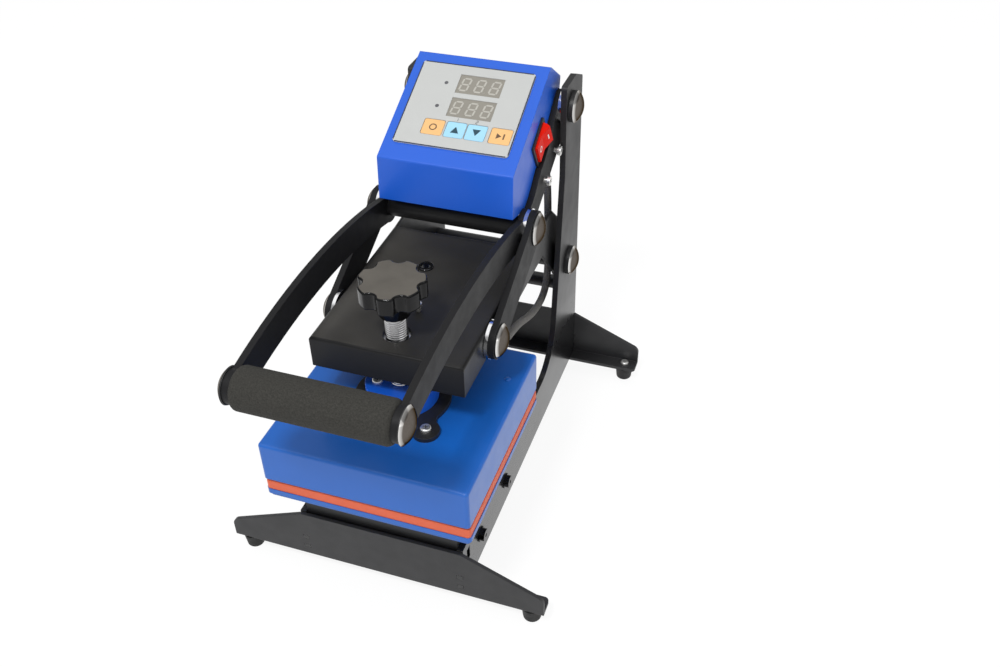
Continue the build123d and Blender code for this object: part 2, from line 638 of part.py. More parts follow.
# Press arm: a folded channel with two cheeks that reach back to the rear shaft
def make_arm():
    front_wall = Pos(0, ARM_FRONT_Y + ARM_T / 2) * Rectangle(2 * ARM_HALF, ARM_T)
    top_len = ARM_TOP_REAR_Y - ARM_FRONT_Y
    top = Pos(0, ARM_FRONT_Y + top_len / 2) * Rectangle(2 * ARM_HALF, top_len)
    channel = Pos(0, 0, ARM_TOP_Z - ARM_T) * extrude(top, amount=ARM_T)
    channel += Pos(0, 0, ARM_LOW_Z) * extrude(front_wall, amount=ARM_SKIRT)
    lower = math.radians(CHEEK_LOWER_DEG)
    cheek = Polygon(
        (ARM_FRONT_Y, ARM_LOW_Z),
        (CHEEK_LOWER_Y, ARM_LOW_Z),
        (REAR_PIVOT[0] + CHEEK_END_R * math.cos(lower), REAR_PIVOT[1] + CHEEK_END_R * math.sin(lower)),
        (REAR_PIVOT[0] + CHEEK_END_R, REAR_PIVOT[1]),
        CHEEK_SHOULDER,
        CHEEK_CORNER,
        (ARM_TOP_REAR_Y + ARM_SKIRT, CHEEK_TOP_Z),
        (ARM_TOP_REAR_Y, ARM_TOP_Z),
        (ARM_FRONT_Y, ARM_TOP_Z),
        align=None,
    )
    corners = [cheek.vertices().sort_by_distance(at)[0] for at in (CHEEK_CORNER, CHEEK_SHOULDER)]
    cheek = fillet(corners, CHEEK_CORNER_R)
    cheek += disc(REAR_PIVOT, CHEEK_END_R)
    cheek -= disc(REAR_PIVOT, SHAFT_R)
    cheek -= disc(LINK_PIVOT, SHAFT_R)
    for side in SIDES:
        channel += on_side(cheek, side, ARM_HALF - ARM_T, ARM_HALF)
    bends = channel.edges().filter_by(
        lambda e: abs(e.center().Z - ARM_TOP_Z) < NEAR
        and (abs(abs(e.center().X) - ARM_HALF) < NEAR or abs(e.center().Y - ARM_FRONT_Y) < NEAR)
    )
    channel = fillet(bends, ARM_BEND_R)
    under_top = ARM_TOP_Z - ARM_T
    channel -= upright_rod(0, PLATEN_Y, under_top - CUT_PAST, ARM_TOP_Z + CUT_PAST, STEM_HOLE_R)
    channel -= upright_rod(*GROMMET_AT, under_top - CUT_PAST, ARM_TOP_Z + CUT_PAST, GROMMET_NECK_R)
    save("press_arm", channel)

    bush = upright_rod(0, PLATEN_Y, under_top - BUSH_H, under_top, BUSH_R)
    save("thread_bush", bush - upright_rod(0, PLATEN_Y, 0, ARM_TOP_Z, STEM_R + TURN_GAP))

    grommet = upright_rod(*GROMMET_AT, under_top, ARM_TOP_Z, GROMMET_NECK_R)
    grommet += upright_rod(*GROMMET_AT, ARM_TOP_Z, ARM_TOP_Z + GROMMET_H, GROMMET_R)
    grommet += upright_rod(*GROMMET_AT, under_top - GROMMET_H, under_top, GROMMET_R)
    grommet = fillet(grommet.edges().sort_by(Axis.Z)[-1], GROMMET_EDGE_R)
    bore = upright_rod(*GROMMET_AT, ARM_LOW_Z, ARM_TOP_Z + GROMMET_H + CUT_PAST, GROMMET_BORE_R)
    save("arm_grommet", grommet - bore)

    screw_top = ARM_TOP_Z + LOCK_SCREW_H
    screw = upright_rod(*LOCK_SCREW_AT, ARM_TOP_Z, screw_top, LOCK_SCREW_R)
    save("lock_screw", screw + upright_rod(*LOCK_SCREW_AT, screw_top - LOCK_HEAD_H, screw_top, LOCK_HEAD_R))

    shaft_out = SIDE_OUT + COLLAR_T
    save("rear_shaft", across(disc(REAR_PIVOT, SHAFT_R), -shaft_out, shaft_out))
    tube = disc(REAR_PIVOT, TUBE_R) - disc(REAR_PIVOT, SHAFT_R)
    save("rear_tube", across(tube, -ARM_HALF + ARM_T, ARM_HALF - ARM_T))
    collars = []
    for side in SIDES:
        collars.append(ring(REAR_PIVOT, RING_R, SHAFT_R, side, SIDE_OUT + RUN_GAP, shaft_out))
        collars.append(ring(REAR_PIVOT, RING_R, SHAFT_R, side, ARM_HALF, SIDE_IN - RUN_GAP))
    save("rear_collars", group(collars))
    save("rear_cap_domes", group([dome(REAR_PIVOT, side, shaft_out) for side in SIDES]))


# Knob and threaded stem
def knob_outline():
    """A disc with a round bite between each pair of lobes, all corners eased."""
    star = Circle(KNOB_R)
    for index in range(KNOB_LOBES):
        bite = Rot(0, 0, 360 / KNOB_LOBES * index) * Pos(KNOB_BITE_AT_R, 0) * Circle(KNOB_BITE_R)
        star -= bite
    return Rot(0, 0, KNOB_TURN) * fillet(star.vertices(), KNOB_LOBE_EDGE_R)


def make_knob():
    lobe_z = KNOB_TOP_Z - KNOB_LOBE_H
    grip = Pos(0, PLATEN_Y, lobe_z) * extrude(knob_outline(), amount=KNOB_LOBE_H)
    levels = grip.edges().group_by(Axis.Z)
    grip = fillet(levels[0] + levels[-1], KNOB_EDGE_R)
    hub_h = lobe_z - KNOB_HUB_Z
    hub = Pos(0, PLATEN_Y, KNOB_HUB_Z) * Cone(KNOB_HUB_R, KNOB_HUB_TOP_R, hub_h, align=ON_BASE)
    hub = fillet(hub.edges().sort_by(Axis.Z)[0], KNOB_HUB_EDGE_R)
    bore_top = KNOB_TOP_Z - KNOB_LOBE_H / 2
    bore = upright_rod(0, PLATEN_Y, KNOB_HUB_Z - CUT_PAST, bore_top, STEM_R)
    save("star_knob", grip + hub - bore)

    shoulder_z = DISC_TOP_Z + RUN_GAP
    spigot_z = COVER_TOP_Z + LOOSE_GAP
    stem = upright_rod(0, PLATEN_Y, shoulder_z, bore_top, STEM_R)
    stem += upright_rod(0, PLATEN_Y, spigot_z, shoulder_z, SPIGOT_R)
    retainer = upright_rod(0, PLATEN_Y, spigot_z, SPIDER_TOP_Z - RUN_GAP, RETAINER_R)
    retainer -= upright_rod(0, PLATEN_Y, COVER_TOP_Z, SPIDER_TOP_Z, SPIGOT_R)
    save("threaded_stem", group([stem, retainer]))


# Upper platen and its mounting
def spider_spots():
    """The four bolts of the mounting spider."""
    reach = SPIDER_BOLT_R / math.sqrt(2)
    return [(x * reach, PLATEN_Y + y * reach) for x in SIDES for y in SIDES]


def disc_spots():
    """The screws that hold the round adapter on the spider."""
    spots = []
    for index in range(DISC_SCREWS):
        angle = math.radians(DISC_SCREW_DEG + 360 / DISC_SCREWS * index)
        x = DISC_SCREW_AT_R * math.cos(angle)
        spots.append((x, PLATEN_Y + DISC_SCREW_AT_R * math.sin(angle)))
    return spots


def pan_screw(x, y, z_seat, z_tip):
    """A round-head screw along Z with its head above z_seat."""
    shank = upright_rod(x, y, z_tip, z_seat, HEAD_SCREW_R)
    head = upright_rod(x, y, z_seat, z_seat + HEAD_SCREW_HEAD_H, HEAD_SCREW_HEAD_R)
    return shank + fillet(head.edges().sort_by(Axis.Z)[-1], HEAD_SCREW_CROWN_R)


def make_upper_platen():
    outer = slab(PLATEN_WIDTH, PLATEN_DEPTH, COVER_LOW_Z, COVER_TOP_Z, PLATEN_Y, COVER_EDGE_R)
    outer = fillet(outer.edges().group_by(Axis.Z)[-1], COVER_BEND_R)
    inner_w = PLATEN_WIDTH - 2 * SHEET_T
    inner_d = PLATEN_DEPTH - 2 * SHEET_T
    inner_r = COVER_EDGE_R - SHEET_T
    cover = outer - slab(inner_w, inner_d, COVER_LOW_Z, COVER_TOP_Z - SHEET_T, PLATEN_Y, inner_r)

    plate_w = inner_w - 2 * LOOSE_GAP
    plate_d = inner_d - 2 * LOOSE_GAP
    plate_top = HEAT_PLATE_Z + HEAT_PLATE_T
    plate = slab(plate_w, plate_d, HEAT_PLATE_Z, plate_top, PLATEN_Y, inner_r)
    plate = fillet(plate.edges().group_by(Axis.Z)[0], HEAT_PLATE_EDGE_R)
    insulation_top = plate_top + INSULATION_T
    insulation = slab(plate_w, plate_d, plate_top, insulation_top, PLATEN_Y, inner_r)

    spider = Pos(0, PLATEN_Y) * Circle(SPIDER_HUB_R)
    for x, y in spider_spots():
        spider += Pos(x, y) * Circle(SPIDER_LOBE_R)
    inner_corners = spider.vertices().filter_by(
        lambda v: abs(math.hypot(v.X, v.Y - PLATEN_Y) - SPIDER_HUB_R) < NEAR
        and abs(v.Y - PLATEN_Y) > SPIDER_LOBE_R
    )
    spider = fillet(inner_corners, SPIDER_FILLET_R)
    spider -= Pos(0, PLATEN_Y) * Circle(SPIDER_BORE_R)
    spider = Pos(0, 0, COVER_TOP_Z) * extrude(spider, amount=SPIDER_T)
    adapter = upright_rod(0, PLATEN_Y, SPIDER_TOP_Z, DISC_TOP_Z, DISC_R)
    adapter = fillet(adapter.edges().sort_by(Axis.Z)[-1], DISC_EDGE_R)
    adapter -= upright_rod(0, PLATEN_Y, COVER_TOP_Z, DISC_TOP_Z + CUT_PAST, SPIGOT_R + TURN_GAP)

    screws = []
    for x, y in spider_spots():
        shank = upright_rod(x, y, plate_top - HEAT_PLATE_T / 2, SPIDER_TOP_Z + CUT_PAST, HEAD_SCREW_R)
        cover -= shank
        plate -= shank
        insulation -= shank
        spider -= shank
        screws.append(pan_screw(x, y, SPIDER_TOP_Z, plate_top - HEAT_PLATE_T / 2))
    for at in disc_spots():
        shank = upright_rod(*at, COVER_TOP_Z + TURN_GAP, DISC_TOP_Z + CUT_PAST, HEAD_SCREW_R)
        adapter -= shank
        spider -= shank
        screws.append(pan_screw(*at, DISC_TOP_Z, COVER_TOP_Z + TURN_GAP))
    save("heating_plate", plate)
    save("insulation_board", insulation)
    save("mounting_spider", spider)
    save("adapter_disc", adapter)
    save("head_screws", group(screws))

    gland_x, gland_z = LEAD_END
    gland_plane = Plane(origin=(gland_x, PLATEN_REAR_Y, gland_z), z_dir=(0, 1, 0))
    cover -= extrude(gland_plane * Circle(GLAND_R), amount=-SHEET_T - LOOSE_GAP)
    save("platen_gland", gland_solid(gland_plane))
    save("platen_cover", cover)


# Heater lead and its two glands
def gland_solid(wall_plane):
    """A strain relief that passes through a sheet wall and holds the lead."""
    gland = extrude(wall_plane * Circle(GLAND_R), amount=-SHEET_T)
    gland += extrude(wall_plane * RegularPolygon(GLAND_HEX_R, 6), amount=GLAND_H / 2)
    gland += extrude(wall_plane * Circle(GLAND_NUT_R), amount=GLAND_H)
    return gland


def lead_radii():
    """A bend radius for each corner, short enough to leave a straight between bends."""
    points = [Vector(*p) for p in LEAD_ROUTE]
    radii = []
    for before, corner, after in zip(points, points[1:], points[2:]):
        runs = (corner - before, after - corner)
        half_turn = math.radians(runs[0].get_angle(runs[1])) / 2
        radii.append(LEAD_BEND_SHARE * min(run.length for run in runs) / math.tan(half_turn))
    return radii


def make_lead():
    radii = lead_radii()
    path = FilletPolyline(*LEAD_ROUTE, radius=radii)
    start = Plane(origin=path @ 0, z_dir=path % 0)
    lead = sweep(start * Circle(LEAD_R), path=path)
    length = path.length
    print("lead bend radii", [round(r, 1) for r in radii], "length", round(length, 1))
    print("lead volume over section times length", lead.volume / (math.pi * LEAD_R**2 * length))
    save("heater_lead", lead)


# Control box
def box_profile(shrink):
    """The box seen from the side, drawn in by the sheet thickness for its inside."""
    corners = (BOX_FRONT_LOW, BOX_BEND, BOX_CREST, BOX_REAR_TOP, BOX_REAR_LOW, BOX_HEEL)
    outline = Polygon(*corners, align=None)
    return offset(outline, amount=-shrink, kind=Kind.INTERSECTION) if shrink else outline


def base_zone():
    """The part of the sheet that the closing plate takes: the bottom and the rear."""
    below = BOX_HEEL[1] - BOX_WIDTH
    behind = BOX_REAR_TOP[0] + BOX_WIDTH
    return Polygon(
        (BOX_FRONT_LOW[0] - CUT_PAST, below),
        (BOX_FRONT_LOW[0] - CUT_PAST, BOX_FRONT_LOW[1]),
        BOX_FRONT_LOW,
        (BOX_HEEL[0], BOX_HEEL[1] + SHEET_T),
        (BOX_REAR_LOW[0] - SHEET_T, BOX_REAR_LOW[1] + SHEET_T),
        (BOX_REAR_TOP[0] - SHEET_T, BOX_REAR_TOP[1] - SHEET_T),
        (behind, BOX_REAR_TOP[1] - SHEET_T),
        (behind, below),
        align=None,
    )


def sloped(sketch, lift, thickness):
    """A sketch drawn on the sloped panel, raised by lift and given a thickness."""
    return extrude(SLOPE.offset(lift) * sketch, amount=thickness)


def display_windows():
    """Outlines of the two displays, lower one first."""
    middle = sum(DISPLAY_X) / 2
    return [Pos(middle, s + DISPLAY_H / 2) * Rectangle(DISPLAY_W, DISPLAY_H) for s in DISPLAY_S]


def key_outlines(gap):
    """Outlines of the four keys from left to right, grown by a gap."""
    outlines = []
    for x, width in zip(KEY_XS, KEY_WIDTHS):
        shape = RectangleRounded(width + 2 * gap, KEY_DEPTH + 2 * gap, KEY_CORNER_R + gap)
        outlines.append(Pos(x, KEY_S) * shape)
    return outlines


def panel_openings():
    """Everything that is cut through the label and the sheet under it."""
    openings = Sketch()
    for outline in display_windows() + key_outlines(KEY_GAP):
        openings += outline
    for at in LED_AT:
        openings += Pos(*at) * Circle(LED_R)
    return openings


def make_panel():
    label_w = LABEL_X[1] - LABEL_X[0]
    label_h = LABEL_S[1] - LABEL_S[0]
    label_mid = (sum(LABEL_X) / 2, sum(LABEL_S) / 2)
    label = Pos(*label_mid) * RectangleRounded(label_w, label_h, LABEL_CORNER_R)
    save("panel_overlay", sloped(label - panel_openings(), 0, LABEL_T))

    for name, window in zip(("lower_display", "upper_display"), display_windows()):
        save(name, sloped(window, LABEL_T - DISPLAY_RISE - DISPLAY_T, DISPLAY_T))
    leds = [sloped(Pos(*at) * Circle(LED_R), LABEL_T - LED_H, LED_H) for at in LED_AT]
    save("panel_lamps", group(leds))
    for name, outline in zip(("key_left", "key_up", "key_down", "key_right"), key_outlines(0)):
        body = sloped(outline, LABEL_T - KEY_T, KEY_T)
        save(name, fillet(body.edges().group_by(OUT_OF_SLOPE)[-1], KEY_EDGE_R))

    board = Pos(0, label_mid[1]) * Rectangle(2 * BOARD_HALF, label_h + 2 * BOARD_POST_R)
    board = sloped(board, -BOARD_DROP - BOARD_T, BOARD_T)
    post_x = BOARD_HALF - BOARD_POST_R
    for x in (-post_x, post_x):
        for s in LABEL_S:
            post = Pos(x, s) * Circle(BOARD_POST_R)
            board += sloped(post, -BOARD_DROP, BOARD_DROP - SHEET_T)
    save("control_board", board)


def rocker_plane():
    """Plane on the right side of the box, along the switch."""
    plane = Plane(origin=(BOX_HALF, *ROCKER_AT), x_dir=(0, 1, 0), z_dir=(1, 0, 0))
    return plane * Rot(0, 0, ROCKER_TILT)


def rocker_pin(radius, reach):
    """The pin that the rocker tips on, from side to side."""
    length = ROCKER_W + 2 * reach
    return Pos(0, 0, ROCKER_PIVOT_H) * Rot(90, 0, 0) * Cylinder(radius, length)


def make_rocker_switch():
    plane = rocker_plane()
    hole = Rectangle(ROCKER_L + 2 * ROCKER_GAP, ROCKER_W + 2 * ROCKER_GAP)
    bezel = extrude(RectangleRounded(BEZEL_L, BEZEL_W, BEZEL_R), amount=BEZEL_T)
    bezel += extrude(housing_outline(), amount=-HOUSING_DEPTH)
    well_h = HOUSING_DEPTH - HOUSING_WALL + BEZEL_T + CUT_PAST
    bezel -= Pos(0, 0, HOUSING_WALL - HOUSING_DEPTH) * extrude(hole, amount=well_h)
    bezel -= rocker_pin(ROCKER_PIN_R + TURN_GAP, ROCKER_PIN_L + RUN_GAP)
    save("rocker_bezel", plane * bezel)

    face = Polygon(
        (-ROCKER_L / 2, -ROCKER_DEPTH),
        (ROCKER_L / 2, -ROCKER_DEPTH),
        (ROCKER_L / 2, BEZEL_T + ROCKER_CROWN),
        (0, BEZEL_T + ROCKER_LOW),
        (-ROCKER_L / 2, BEZEL_T + ROCKER_LOW),
        align=None,
    )
    face &= Pos(0, ROCKER_PIVOT_H) * Circle(ROCKER_L / 2)
    rocker = extrude(Plane.XZ.offset(-ROCKER_W / 2) * face, amount=ROCKER_W)
    save("rocker", plane * (rocker + rocker_pin(ROCKER_PIN_R, ROCKER_PIN_L)))


def housing_outline():
    """The switch's body behind the sheet, and the cut-out that it drops into."""
    wall = 2 * (ROCKER_GAP + HOUSING_WALL)
    return Rectangle(ROCKER_L + wall, ROCKER_W + wall)


def box_screw(at, side):
    """A screw from the side that stands off the lever plate on its spacer."""
    stand_off = LEVER_OUT + BOX_SCREW_STAND_OFF
    screw = on_side(disc(at, BOX_SCREW_R), side, BOX_HALF - BOX_SCREW_TIP, stand_off)
    return screw + on_side(disc(at, BOX_SCREW_HEAD_R), side, stand_off, stand_off + BOX_SCREW_HEAD_H)


def bottom_plane():
    """Plane on the box's rising bottom, where the lead leaves it."""
    run = BOX_REAR_LOW[0] - BOX_HEEL[0]
    rise = BOX_REAR_LOW[1] - BOX_HEEL[1]
    outward = Vector(0, rise, -run).normalized()
    seat = Vector(*LEAD_ROUTE[0]) - outward * (GLAND_H + LOOSE_GAP)
    return Plane(origin=seat, z_dir=outward)


def make_control_box():
    shell = across(box_profile(0), -BOX_HALF, BOX_HALF)
    folds = shell.edges().filter_by(
        lambda e: abs(e.center().X) < NEAR and e.center().Z > BOX_FRONT_LOW[1] + NEAR
    )
    shell = fillet(folds.filter_by(Axis.X), BOX_EDGE_R)
    inner_half = BOX_HALF - SHEET_T
    shell -= across(box_profile(SHEET_T), -inner_half, inner_half)
    zone = across(base_zone(), -inner_half, inner_half)
    base = shell & zone
    shell -= zone
    shell -= sloped(panel_openings(), -SHEET_T - CUT_PAST, SHEET_T + 2 * CUT_PAST)
    shell -= rocker_plane() * extrude(housing_outline(), amount=-SHEET_T - CUT_PAST)
    screws = []
    for at in BOX_SCREWS:
        hole = across(disc(at, BOX_SCREW_R), -BOX_HALF - CUT_PAST, BOX_HALF + CUT_PAST)
        shell -= hole
        base -= hole
        for side in SIDES:
            screws.append(box_screw(at, side))
    save("box_screws", group(screws))
    save("box_shell", shell)

    gland_plane = bottom_plane()
    gland_hole = Pos(0, 0, -SHEET_T - CUT_PAST) * extrude(Circle(GLAND_R), amount=SHEET_T + 2 * CUT_PAST)
    save("box_gland", gland_solid(gland_plane))
    save("box_base", base - gland_plane * gland_hole)


make_feet()
make_side_plates()
make_lower_platen()
make_lever()
make_links()
make_arm()
make_knob()
make_upper_platen()
make_panel()
make_rocker_switch()
make_control_box()
make_lead()
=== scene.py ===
"""Finish of the label heat press: paint, metal, foam, panel print, stem thread, heater lead and studio."""

import math

import bmesh
import bpy
from bpy.props import FloatProperty, FloatVectorProperty, IntProperty, PointerProperty
from mathutils import Matrix, Vector


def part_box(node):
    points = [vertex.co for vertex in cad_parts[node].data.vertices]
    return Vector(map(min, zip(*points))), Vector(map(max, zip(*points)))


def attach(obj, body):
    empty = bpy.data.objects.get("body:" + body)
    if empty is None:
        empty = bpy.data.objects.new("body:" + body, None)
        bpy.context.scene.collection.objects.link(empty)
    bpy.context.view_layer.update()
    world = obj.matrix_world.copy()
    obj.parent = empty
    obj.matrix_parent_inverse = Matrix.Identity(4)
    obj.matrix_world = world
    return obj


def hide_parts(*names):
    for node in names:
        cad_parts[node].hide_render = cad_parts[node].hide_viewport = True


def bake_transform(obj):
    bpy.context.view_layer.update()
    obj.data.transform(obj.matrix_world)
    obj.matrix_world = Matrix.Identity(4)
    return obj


bl_info = {
    "name": "Label Heat Press",
    "version": (1, 0, 0),
    "blender": (4, 5, 0),
    "location": "View3D > Sidebar > Press",
    "description": "Dresses the label heat press and sets up its studio",
    "category": "Object",
}

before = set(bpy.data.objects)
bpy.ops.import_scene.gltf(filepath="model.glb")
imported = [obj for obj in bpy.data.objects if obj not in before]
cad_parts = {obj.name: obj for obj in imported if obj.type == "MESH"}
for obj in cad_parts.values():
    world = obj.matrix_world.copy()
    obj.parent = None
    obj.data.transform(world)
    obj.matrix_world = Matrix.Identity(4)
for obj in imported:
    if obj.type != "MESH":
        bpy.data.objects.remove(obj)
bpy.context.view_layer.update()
MM = 0.001

# Sloped panel: origin on the bend, distances across and up the slope, in millimetres
BEND = (47.0, 290.6)
CREST = (143.1, 336.5)
SLOPE_RAD = math.atan2(CREST[1] - BEND[1], CREST[0] - BEND[0])
LABEL_T = 1.2
LABEL_X = (-48.2, 46.6)
LABEL_S = (15.5, 96.7)
DISPLAY_MID_X = 5.25
DISPLAY_LOW_S = (45.8, 68.9)
DISPLAY_SIZE = (37.0, 18.5)
DISPLAY_LIFT = 0.7
KEY_MIDS = {"key_left": -19.8, "key_up": -1.5, "key_down": 15.5, "key_right": 35.5}
KEY_S = 33.8

# Unlit digits on the displays, how far they lean, and the gap at a segment's end as a share of its stroke
DIGIT_SIZE = (6.2, 11.8)
DIGIT_LEAN = 0.14
SEGMENT_GAP = 0.18

# Outline of the film: how much shorter than the film its four lines are, for the round corners
OUTLINE_SHORTER = 4.0

# Plain numbers under the lower display, and which of the seven segments draw each one
NUMBER_S = 43.5
NUMBER_X = {"1": -3.0, "2": 13.5}
NUMBER_SIZE = (1.8, 3.0)
NUMBER_STROKE = 0.65
SEGMENTS_OF = {"1": (5, 6), "2": (0, 1, 2, 3, 6)}

# Signs on the keys: two arrows, a ring, and a start sign of a wedge and a bar
ARROW_HALF = 3.4
ARROW_RISE = 3.0
RING_SIGN_R = (3.1, 2.2)
WEDGE = ((-3.4, -2.6), (0.6, 0.0), (-3.4, 2.6))
WEDGE_BAR_X = 2.6
WEDGE_BAR = (1.2, 5.2)

# Rocker switch on the right side: its middle, the tilt of its long side, and its two marks
ROCKER_AT = (111.0, 287.5)
ROCKER_TILT = math.radians(29.7)
ROCKER_MARK_OUT = 6.2
ON_BAR = (1.2, 5.6)
OFF_RING_R = (2.6, 1.7)
MARK_SUNK = 0.1

# Threaded stem under the knob, on a line that stands on the platen
STEM_AT = (0.0, -58.6)
STEM_FOOT = 147.4
RETAINER_TOP = 150.5
RETAINER_R = 9.0
SPIGOT_R = 5.0
THREAD_LOW = 165.1
THREAD_HIGH = 250.5
THREAD_CREST_R = 8.6
THREAD_ROOT_R = 8.05
THREAD_PITCH = 2.0
THREAD_ROWS_PER_TURN = 6
THREAD_SIDES = 28
THREAD_STEEPNESS = 1.3

# Screws with a cross recess: four on the spider and three on the disc, round the stem, and the others
SPIDER_REACH = 31.53
SPIDER_CORNERS = ((-1, -1), (-1, 1), (1, -1), (1, 1))
SPIDER_SCREWS = tuple(
    (STEM_AT[0] + SPIDER_REACH * side, STEM_AT[1] + SPIDER_REACH * end) for side, end in SPIDER_CORNERS
)
DISC_REACH = 18.0
DISC_TURNS = tuple(math.radians(turn) for turn in (84, 204, 324))
DISC_SCREWS = tuple(
    (STEM_AT[0] + DISC_REACH * math.cos(turn), STEM_AT[1] + DISC_REACH * math.sin(turn))
    for turn in DISC_TURNS
)
LOCK_SCREW = (4.2, -27.7)
BOX_SCREWS = ((109.3, 255.0), (138.4, 267.0))
RECESS_SUNK = 0.2

# The way that the crosses of the screws are turned
CROSS_TURN = Vector((0.94, 0.34, 0))
BOX_CROSS_TURN = Vector((0, 0.8, 0.6))

# Two rivets on the platen cover: their middles, and (height, radius) rows of the round head
COVER_RIVETS = ((-69.6, -14.5), (69.6, -14.5))
RIVET_ROWS = ((-0.2, 2.7), (0.3, 2.6), (0.65, 1.9), (0.8, 0.9))
RIVET_SIDES = 24

# How far outside a CAD piece a line starts that looks for its surface
PROBE_CLEAR = 10.0

# Tray of the lower platen: inside of its rim, its thickness and heights, in millimetres
TRAY_X = 82.25
TRAY_Y = (-138.45, 22.15)
TRAY_CORNER = 3.0
TRAY_WALL = 0.5
TRAY_Z = (95.9, 100.8)

# Side plates: heights in metres up to which they are rubbed smooth, and from which they are plain
RUBBED_TO_Z = 0.05
PLAIN_FROM_Z = 0.2

# Heater lead route, in millimetres
LEAD_ROUTE = (
    (48.4, 150.6, 248.0),
    (49.6, 156.6, 232.0),
    (53.0, 148.5, 175.0),
    (53.6, 148.0, 138.0),
    (52.2, 140.0, 116.0),
    (49.5, 112.0, 113.5),
    (46.0, 72.0, 129.5),
    (44.0, 31.8, 130.5),
)
LEAD_DROP_END_Z = 160.0
LEAD_BEND_END_Y = 95.0
LEAD_SIDES = 16

# Camera that took the reference view, in the frame of the object
CAMERA_AT = (0.27351, -0.59937, 0.68265)
CAMERA_YAW = math.radians(-19.695)
CAMERA_PITCH = math.radians(-38.383)
CAMERA_ROLL = math.radians(-1.318)
CAMERA_LENS = 37.69
CAMERA_SENSOR = 36.0
CAMERA_SHIFT_Y = 0.0007
CAMERA_CLIP = (0.01, 50.0)

# Studio: half width and brightness of the floor, and places and sizes of the lamps, in metres
FLOOR_HALF = 6.0
FLOOR_WHITE = 1.05
KEY_AT = (-0.08, -1.0, 1.72)
KEY_SIZE = 0.25
FILL_AT = (1.3, -0.7, 0.9)
FILL_SIZE = 1.2
LAMPS_AIM = (0, 0, 0.15)

# Sky: heights between which its light changes, from 0 at the horizon to 1 overhead
LOW_SKY = (0.12, 0.24)
HIGH_SKY = (0.68, 0.85)

# Coats: reach of a soft edge and height of a bump in metres, and what the painted highlight on the edges
# adds in brightness
EDGE_R = 0.0006
BEVEL_SAMPLES = 4
BUMP_HEIGHT = 0.0002
EDGE_HIGHLIGHT_LIFT = 0.012

# Painted sheen on the arm's top, and the X range in metres in which it fades
PAINTED_SHEEN = (0.085, 0.081, 0.074)
PAINTED_SHEEN_FADES_X = (-0.055, 0.02)

# Finishes by name, which the first operator makes
MATERIALS = {}


class PressPaint(bpy.types.PropertyGroup):
    """Colours of the press."""

    blue: FloatVectorProperty(
        name="Box blue", description="Powder coat on the control box", subtype="COLOR",
        default=(0.005, 0.106, 0.64),
    )
    cover: FloatVectorProperty(
        name="Cover blue", description="Powder coat on the platen covers", subtype="COLOR",
        default=(0.008, 0.118, 0.5),
    )
    black: FloatVectorProperty(
        name="Black coat", description="Powder coat on the arms and base", subtype="COLOR",
        default=(0.0125, 0.0125, 0.0135),
    )
    pad: FloatVectorProperty(
        name="Silicone", description="Silicone pad on the lower platen", subtype="COLOR",
        default=(0.72, 0.125, 0.05),
    )
    foam: FloatVectorProperty(
        name="Foam", description="Foam on the handle", subtype="COLOR", default=(0.036, 0.035, 0.031)
    )
    film: FloatVectorProperty(
        name="Panel film", description="Film on the control box", subtype="COLOR", default=(0.52, 0.53, 0.52)
    )
    orange: FloatVectorProperty(
        name="Orange keys", description="Left and right keys", subtype="COLOR", default=(0.86, 0.5, 0.2)
    )
    sky: FloatVectorProperty(
        name="Light blue keys", description="Up and down keys", subtype="COLOR", default=(0.36, 0.68, 0.88)
    )
    red: FloatVectorProperty(
        name="Switch red", description="Power rocker", subtype="COLOR", default=(0.8, 0.014, 0.005)
    )


class PressDetail(bpy.types.PropertyGroup):
    """Sizes of the small pieces."""

    lead_width: FloatProperty(
        name="Lead diameter", description="Diameter of the heater lead", unit="LENGTH", default=0.0066
    )
    print_height: FloatProperty(
        name="Print height", description="How far printed marks stand off", unit="LENGTH", default=0.00008
    )
    outline_width: FloatProperty(
        name="Outline width", description="Dark outline round the film", unit="LENGTH", default=0.0009
    )
    segment_width: FloatProperty(
        name="Segment width", description="Width of a display segment", unit="LENGTH", default=0.0014
    )
    recess: FloatProperty(
        name="Cross recess", description="Across the recess of a screw", unit="LENGTH", default=0.0038
    )
    digits: IntProperty(name="Digits", description="Digits on each display", default=3, min=1, max=4)


class PressStudio(bpy.types.PropertyGroup):
    """Floor and lamps."""

    floor: FloatVectorProperty(
        name="Floor", description="Colour of the floor", subtype="COLOR", default=(0.9, 0.9, 0.9)
    )
    lift: FloatProperty(
        name="White floor", description="How much of the floor shows as plain white",
        default=0.85, min=0, max=1,
    )
    horizon: FloatProperty(name="Horizon", description="Light from low down all round", default=1.0)
    middle: FloatProperty(name="Middle", description="Light from half way up", default=0.38)
    top: FloatProperty(name="Overhead", description="Light from overhead", default=1.1)
    key: FloatProperty(name="Key lamp", description="Power of the main lamp", unit="POWER", default=15.0)
    fill: FloatProperty(name="Fill lamp", description="Power of the fill lamp", unit="POWER", default=2.5)


def metres(sizes):
    """Millimetres given in metres."""
    return tuple(size * MM for size in sizes)


def sloped(x, s, lift=LABEL_T):
    """A point on the panel, in metres."""
    y = BEND[0] + s * math.cos(SLOPE_RAD) - lift * math.sin(SLOPE_RAD)
    z = BEND[1] + s * math.sin(SLOPE_RAD) + lift * math.cos(SLOPE_RAD)
    return Vector(metres((x, y, z)))


def slope_matrix(x, s, lift=LABEL_T):
    """Local X across the panel, local Y up it, local Z out of it."""
    return Matrix.Translation(sloped(x, s, lift)) @ Matrix.Rotation(SLOPE_RAD, 4, "X")


def new_object(name, data):
    """An object in the scene, for a mesh, a curve, a lamp or a camera."""
    item = bpy.data.objects.new(name, data)
    bpy.context.scene.collection.objects.link(item)
    return item


